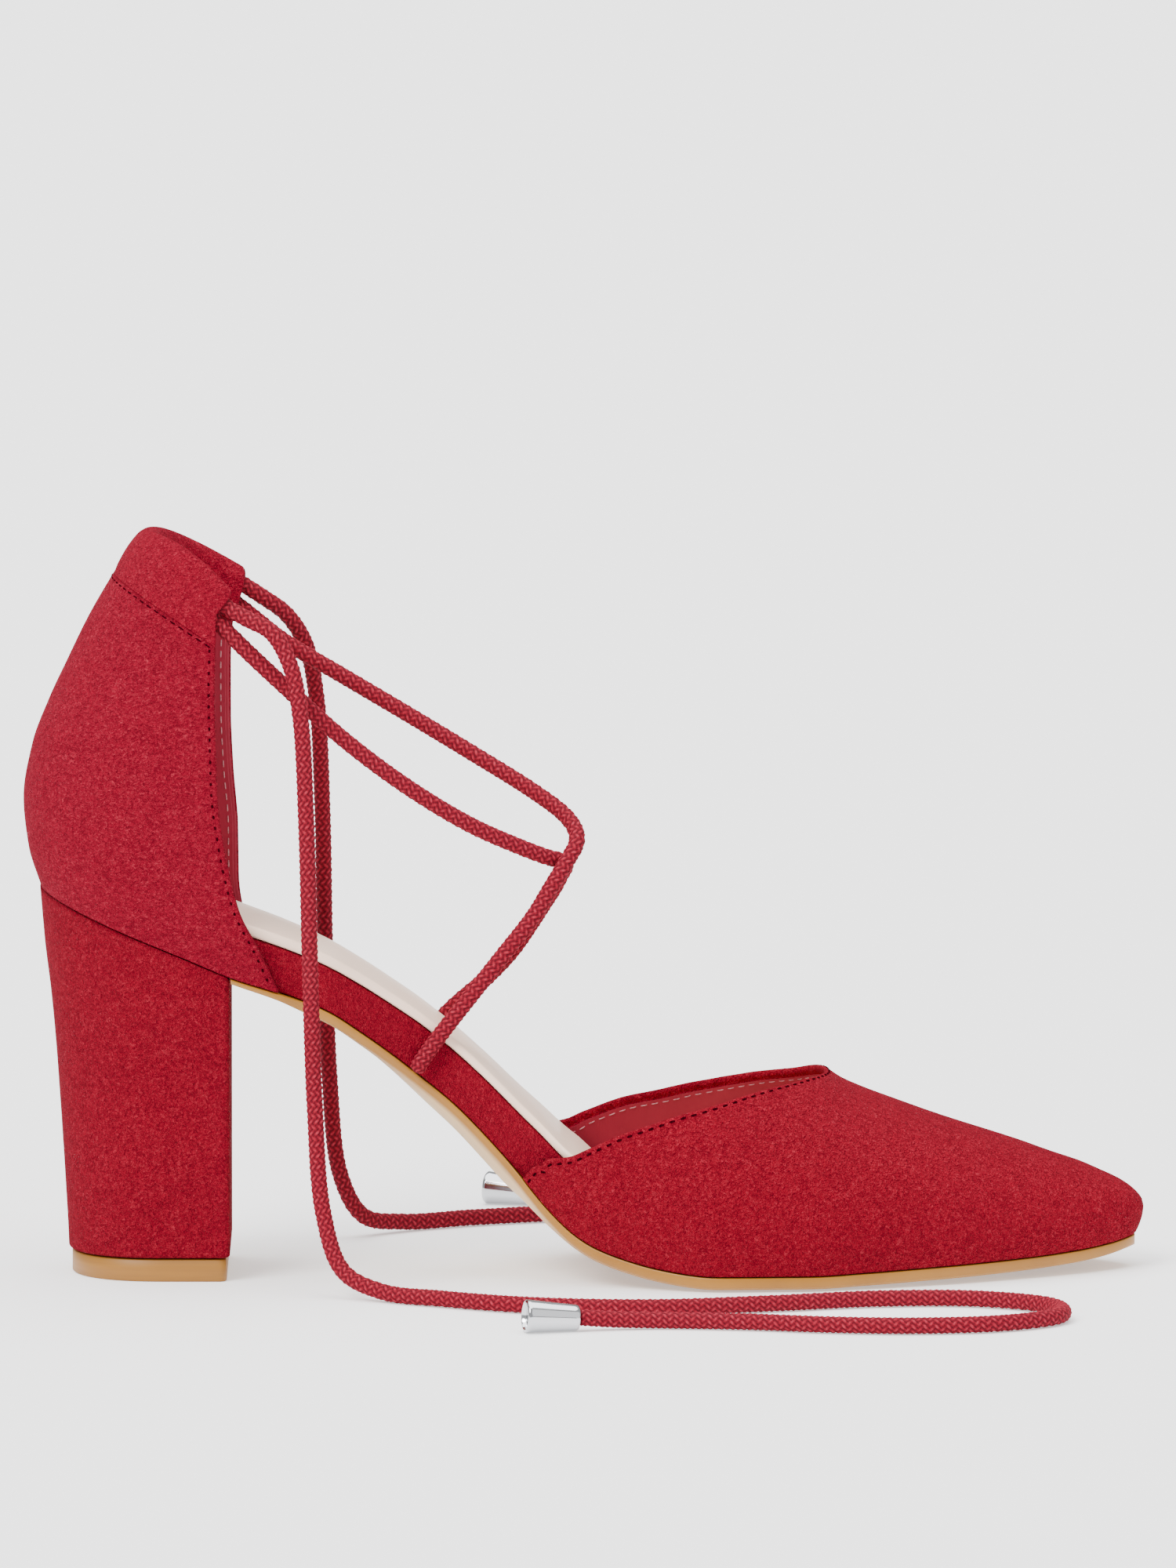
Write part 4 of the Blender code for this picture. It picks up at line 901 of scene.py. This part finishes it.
def vamp_line(distance, inset):
    """A line round the opening at a distance from its edge, and the surface's outward normals."""
    line, inward, _ = vamp_from_edge(height, side, distance, inset)
    edge = unit(np.gradient(line, axis=0))
    normal = unit(np.cross(inward, edge))
    return line, normal * np.sign(np.sum(normal * (line - [0, 0, 0.005]), -1, keepdims=True))


line, normal = vamp_line(1.1 * MM, 0.0)
stitches("vamp_topstitch", line, normal, STITCH_PITCH, 1.35 * MM, 0.46 * MM, 0.06 * MM, dark_thread)
line, normal = vamp_line(FOLD_DEPTH + VAMP_WALL / 2 + 0.9 * MM, VAMP_WALL + LINING_STEP)
stitches("vamp_lining_stitch", line, -normal, STITCH_PITCH, 1.6 * MM, 0.27 * MM, 0.08 * MM, pale_thread)

# Counter
# The cupped heel piece, suede outside and lined inside, with its front edges folded over. Its rim
# is turned down into a stitched casing that the cord runs through, open at both front ends.
SEAT_WIDTH = 0.052
WING_FOLD = 0.35 * MM
RIM_CORNER = 2.2 * MM
RIM_CORNER_LEVEL = 0.965
RIM_LENGTH = 0.110
COUNTER_BACK_RISE = 0.0765
COUNTER_WING_RISE = 0.0855
CASING_SWELL = 0.0005
CASING_DEPTH = 0.0066
CASING_WALL = 0.0009
CASING_LEVEL = 0.870
# By level, 0 the feather line, 1 the rim. back, lateral, medial: stations of the back and of the two
# front edges. half: shares of SEAT_WIDTH. round: shares of SEAT_ROUND. follow: how far the level
# keeps to the plan and curve of the seat. An arch over 1 stays high, then drops.
COUNTER_COLUMNS = (
    "level", "back", "lateral", "medial", "back_rise", "wing_rise", "half", "round", "follow",
    "lateral_arch", "medial_arch",
)
COUNTER_LEVELS = (
    (0.0, 0.0155, 0.229, 0.223, 0.0, 0.0, 0.5, 1.0, 1.0, 1.0, 1.0),
    (0.115, 0.0042, 0.213, 0.198, 0.115, 0.103, 0.531, 1.08, 0.85, 1.0, 1.0),
    (0.24, 0.0, 0.194, 0.191, 0.246, 0.214, 0.55, 1.17, 0.6, 1.0, 1.0),
    (0.385, 0.0078, 0.182, 0.19, 0.394, 0.355, 0.55, 1.17, 0.35, 1.0, 1.0),
    (0.51, 0.0226, 0.175, 0.186, 0.518, 0.495, 0.535, 1.12, 0.15, 1.0, 1.0),
    (0.63, 0.0395, 0.1735, 0.184, 0.631, 0.629, 0.512, 1.08, 0.0, 1.0, 1.0),
    (0.75, 0.0586, 0.1725, 0.184, 0.753, 0.752, 0.488, 1.04, 0.0, 1.0, 1.0),
    (0.87, 0.08, 0.173, 0.186, 0.868, 0.86, 0.469, 0.96, 0.0, 1.1, 1.0),
    (0.945, 0.096, 0.173, 0.194, 0.947, 0.936, 0.459, 0.92, 0.0, 1.35, 1.02),
    (1.0, 0.109, 0.19, 0.2, 1.01, 0.996, 0.45, 0.88, 0.0, 1.6, 1.05),
)
counter_level = table_curves(COUNTER_COLUMNS, COUNTER_LEVELS)


def counter_curve(level, shares):
    """One level of the counter from lateral wing round the back to medial wing, at shares of it."""
    at = {name: curve(level) for name, curve in counter_level.items()}
    sides = []
    for name, way in (("lateral", -1), ("medial", 1)):
        back, front = at_station(at["back"]), at_station(at[name])
        foot_back = at_station(counter_level["back"](0))
        foot_front = at_station(counter_level[name](0))
        x = close_at_ends(back, 2 * front - back, 641)[:321]
        ratio = plan["half"](station(x)) / plan["half"](station(at_station(0.1)))
        half = SEAT_WIDTH * at["half"] * (1 + at["follow"] * (ratio - 1))
        half = half * round_end(x - back, SEAT_ROUND * at["round"], 2.15)
        low = feather(foot_back) + COUNTER_BACK_RISE * at["back_rise"]
        front_z = feather(foot_front) + COUNTER_WING_RISE * at["wing_rise"]
        share = np.clip((x - back) / (front - back), 0, None)
        z = low + (front_z - low) * share ** at[name + "_arch"]
        foot_share = (x - foot_back) / (foot_front - foot_back)
        chord = feather(foot_back) + (feather(foot_front) - feather(foot_back)) * foot_share
        z = z + at["follow"] * (feather(x) - chord) * (x <= foot_front) + TOUCH_GAP
        sides.append(np.stack([x, way * half, z], 1))
    curve = np.concatenate([sides[0][::-1], sides[1][1:]])
    along = lengths_along(curve)
    return at_lengths(shares * along[-1], along, curve)


def counter_surface(levels, shares):
    """Points of the counter's outside and its outward normals, rows along the wings, columns up.

    Both front corners of the rim are rounded: a level t of the way over the last of the rim starts
    short of them by a radius times 1 - sqrt(1 - t**2).
    """
    surface, near, far = [], [], []
    for level in levels:
        t = np.clip((level - RIM_CORNER_LEVEL) / (1 - RIM_CORNER_LEVEL), 0, 1)
        short = RIM_CORNER * (1 - math.sqrt(1 - t**2)) / RIM_LENGTH
        at = short + shares * (1 - 2 * short)
        surface.append(counter_curve(level, at))
        near.append(counter_curve(max(level - 0.01, 0.0), at))
        far.append(counter_curve(min(level + 0.01, 1.0), at))
    surface = np.array(surface)
    normal = unit(np.cross(np.array(far) - np.array(near), np.gradient(surface, shares, axis=1)))
    return surface.transpose(1, 0, 2), normal.transpose(1, 0, 2)


fine_end = np.concatenate([np.arange(0, 0.014, 0.0007), np.arange(0.014, 0.028, 0.0014)])
shares = np.concatenate([fine_end, np.linspace(0.03, 0.97, 150), (1 - fine_end)[::-1]])


def edge_distance(surface):
    """How far each point lies from the nearer wing's front edge, along its own level."""
    steps = np.linalg.norm(np.diff(surface, axis=0), axis=-1)
    along = np.concatenate([np.zeros((1, surface.shape[1])), np.cumsum(steps, axis=0)])
    return np.minimum(along, along[-1:] - along)


def rounded(distance, radius):
    """0 at an edge, 1 from a radius on: a quarter circle's height."""
    left = np.clip(1 - distance / radius, 0, 1)
    return np.sqrt(1 - left**2)


wall_levels = np.concatenate([[0.0, 0.004], np.linspace(0.012, CASING_LEVEL + 0.004, 56)])
surface, normal = counter_surface(wall_levels, shares)
from_edge = edge_distance(surface)
swell = rounded(from_edge, COUNTER_WALL / 2)[..., None]
step_in = np.where(from_edge > WING_FOLD + COUNTER_WALL / 2, LINING_STEP, 0.0)[..., None]
outside = surface - normal * COUNTER_WALL / 2 * (1 - swell)
inside = surface - normal * (COUNTER_WALL / 2 * (1 + swell) + step_in)
wall = np.concatenate([outside, inside[:, ::-1]], 1)
lined = from_edge[:, ::-1] > WING_FOLD
lined = np.concatenate([np.zeros_like(lined), lined], 1)

# Counter suede: the brushed cloth, its nap a little longer along the shoe than up it.
counter_suede = suede("counter_suede", "#8A0C26", "#4C0311", "#BE3E4D", brushed=(0.85, 0.85, 1.15))
mesh = grid_mesh("counter_wall", wall, zones=lined[:-1] & lined[1:])
piece(mesh, counter_suede, "heel_counter")
mesh.materials.append(satin_lining)

# Casing: two closed curves round the section, the fold's outside and the cord's tunnel, matched by
# angle about the tunnel's middle and brought together at each mouth as a rounded lip.
CASING_PROFILE = (
    (0.02, 0.085), (0.12, 0.06), (0.22, 0.03), (0.5, 0.0), (0.78, 0.05), (0.94, 0.22),
    (1.0, 0.47), (0.95, 0.75), (0.8, 0.95), (0.5, 1.0), (0.22, 0.95), (0.05, 0.72),
)
TUNNEL_LEVELS = (0.14, 0.955)
low, high = TUNNEL_LEVELS
turn = np.linspace(0, math.tau, 57)[:-1]
middle_level = (low + high) / 2
hollow_depth = 0.5 - CASING_WALL / CASING_DEPTH
tunnel_level = middle_level + (high - low) / 2 * np.sin(turn)
tunnel_depth = 0.5 + hollow_depth * np.sign(np.cos(turn)) * np.abs(np.cos(turn)) ** 0.6
profile_points = np.array(CASING_PROFILE)
chords = lengths_along(profile_points)
even = np.linspace(0, chords[-1], 300)
fine = np.stack([smooth_curve(chords, profile_points[:, k])(even) for k in range(2)], 1)
angle = np.arctan2(fine[:, 0] - middle_level, 0.5 - fine[:, 1]) % math.tau
mouth_angle = np.arctan2(tunnel_level - middle_level, 0.5 - tunnel_depth) % math.tau
order = np.argsort(angle)
outer_level, outer_depth = (
    np.interp(mouth_angle, angle[order], fine[order, k], period=math.tau) for k in range(2)
)


def casing_sheet(levels, depths):
    """Points at levels and depths within the casing, rows along it, columns round its section."""
    surface, normal = counter_surface(CASING_LEVEL + (1 - CASING_LEVEL) * levels, shares)
    return surface + normal * (CASING_SWELL - CASING_DEPTH * depths)[None, :, None], surface


fold_out, surface = casing_sheet(outer_level, outer_depth)
fold_in, _ = casing_sheet(tunnel_level, tunnel_depth)
lip = rounded(edge_distance(surface), CASING_WALL / 2)[..., None]
middle = (fold_out + fold_in) / 2
fold_out = middle + (fold_out - middle) * lip
fold_in = middle + (fold_in - middle) * lip
# Casing suede: the same cloth doubled, painted a touch brighter as a painted highlight where the fold turns
# to the light.
lit_casing_suede = suede("lit_casing_suede", "#8D0C26", "#4C0311", "#BC3C4B", brushed=(0.85, 0.85, 1.15))
ring = np.concatenate([fold_out, fold_in[::-1], fold_out[:1]])
piece(grid_mesh("counter_casing", ring), lit_casing_suede, "heel_counter")


def counter_line(level, depth, start, end):
    """A line along the counter at one level between two shares of it, with outward normals."""
    along = np.linspace(start, end, 400)
    surface, normal = counter_surface([level], along)
    return (surface + normal * depth)[:, 0], normal[:, 0]


def wing_line(way, distance, depth, high):
    """A line up a wing (way -1 lateral, 1 medial) at a distance from its front edge."""
    points, normals = [], []
    for level in np.linspace(0.02, high, 60):
        surface, normal = counter_surface([level], shares)
        along = lengths_along(surface[:, 0])
        at = [distance if way < 0 else along[-1] - distance]
        points.append(at_lengths(at, along, surface[:, 0])[0])
        normals.append(at_lengths(at, along, normal[:, 0])[0])
    normals = unit(np.array(normals))
    return np.array(points) + normals * depth, normals


line, normal = counter_line(CASING_LEVEL - 0.004, 0.02 * MM, 0.012, 0.988)
stitches("casing_seam", line, normal, 2.25 * MM, 1.5 * MM, 0.28 * MM, 0.04 * MM, dark_thread)
for name, way in (("lateral", -1), ("medial", 1)):
    line, normal = wing_line(way, 1.6 * MM, 0.0, CASING_LEVEL)
    stitches(f"{name}_wing_stitch", line, normal, 2.35 * MM, 0.8 * MM, 0.44 * MM, 0.08 * MM, dark_thread)
    line, normal = wing_line(way, 2.3 * MM, -COUNTER_WALL - LINING_STEP, 0.84)
    name = f"{name}_wing_lining_stitch"
    stitches(name, line, -normal, 2.4 * MM, 1.7 * MM, 0.30 * MM, 0.10 * MM, pale_thread)

# Studio
# A seamless white floor under a large soft light from the upper left, a weaker fill from the right
# and a wide light from above.
# White paper: matt, without a visible pattern; its faint glow keeps it even under the shoe.
floor_paper, add, shader, place = material(
    "matte_white_paper", "#F4F4F4", 0.85, Emission_Color="#FFFFFF", Emission_Strength=0.5
)
tooth = add("TexNoise", place, Scale=0.9 / MM, Detail=2.0)
set_inputs(shader, Normal=add("Bump", Height=tooth, Strength=0.05, Distance=0.05 * MM))
floor_mesh = bpy.data.meshes.new("studio_floor")
floor_mesh.from_pydata([(-30, -30, 0), (30, -30, 0), (30, 30, 0), (-30, 30, 0)], [], [(0, 1, 2, 3)])
floor_mesh.materials.append(floor_paper)
floor = placed(floor_mesh)

for name, source, spread, strength in (
    ("key_light", (-0.85, -1.15, 1.35), 30.0, 3.7),
    ("fill_light", (1.3, -1.0, 0.8), 50.0, 0.6),
    ("top_light", (-0.1, 0.2, 2.0), 70.0, 4.4),
):
    data = bpy.data.lights.new(name, "SUN")
    data.angle = math.radians(spread)
    data.energy = strength
    lamp = placed(data)
    lamp.location = source
    lamp.rotation_euler = (-Vector(source)).to_track_quat("-Z", "Y").to_euler()

world = bpy.data.worlds.new("studio_world")
world.use_nodes = True
backdrop = world.node_tree.nodes["Background"]
backdrop.inputs["Color"].default_value = linear("#FFFFFF")
backdrop.inputs["Strength"].default_value = 0.6
bpy.context.scene.world = world
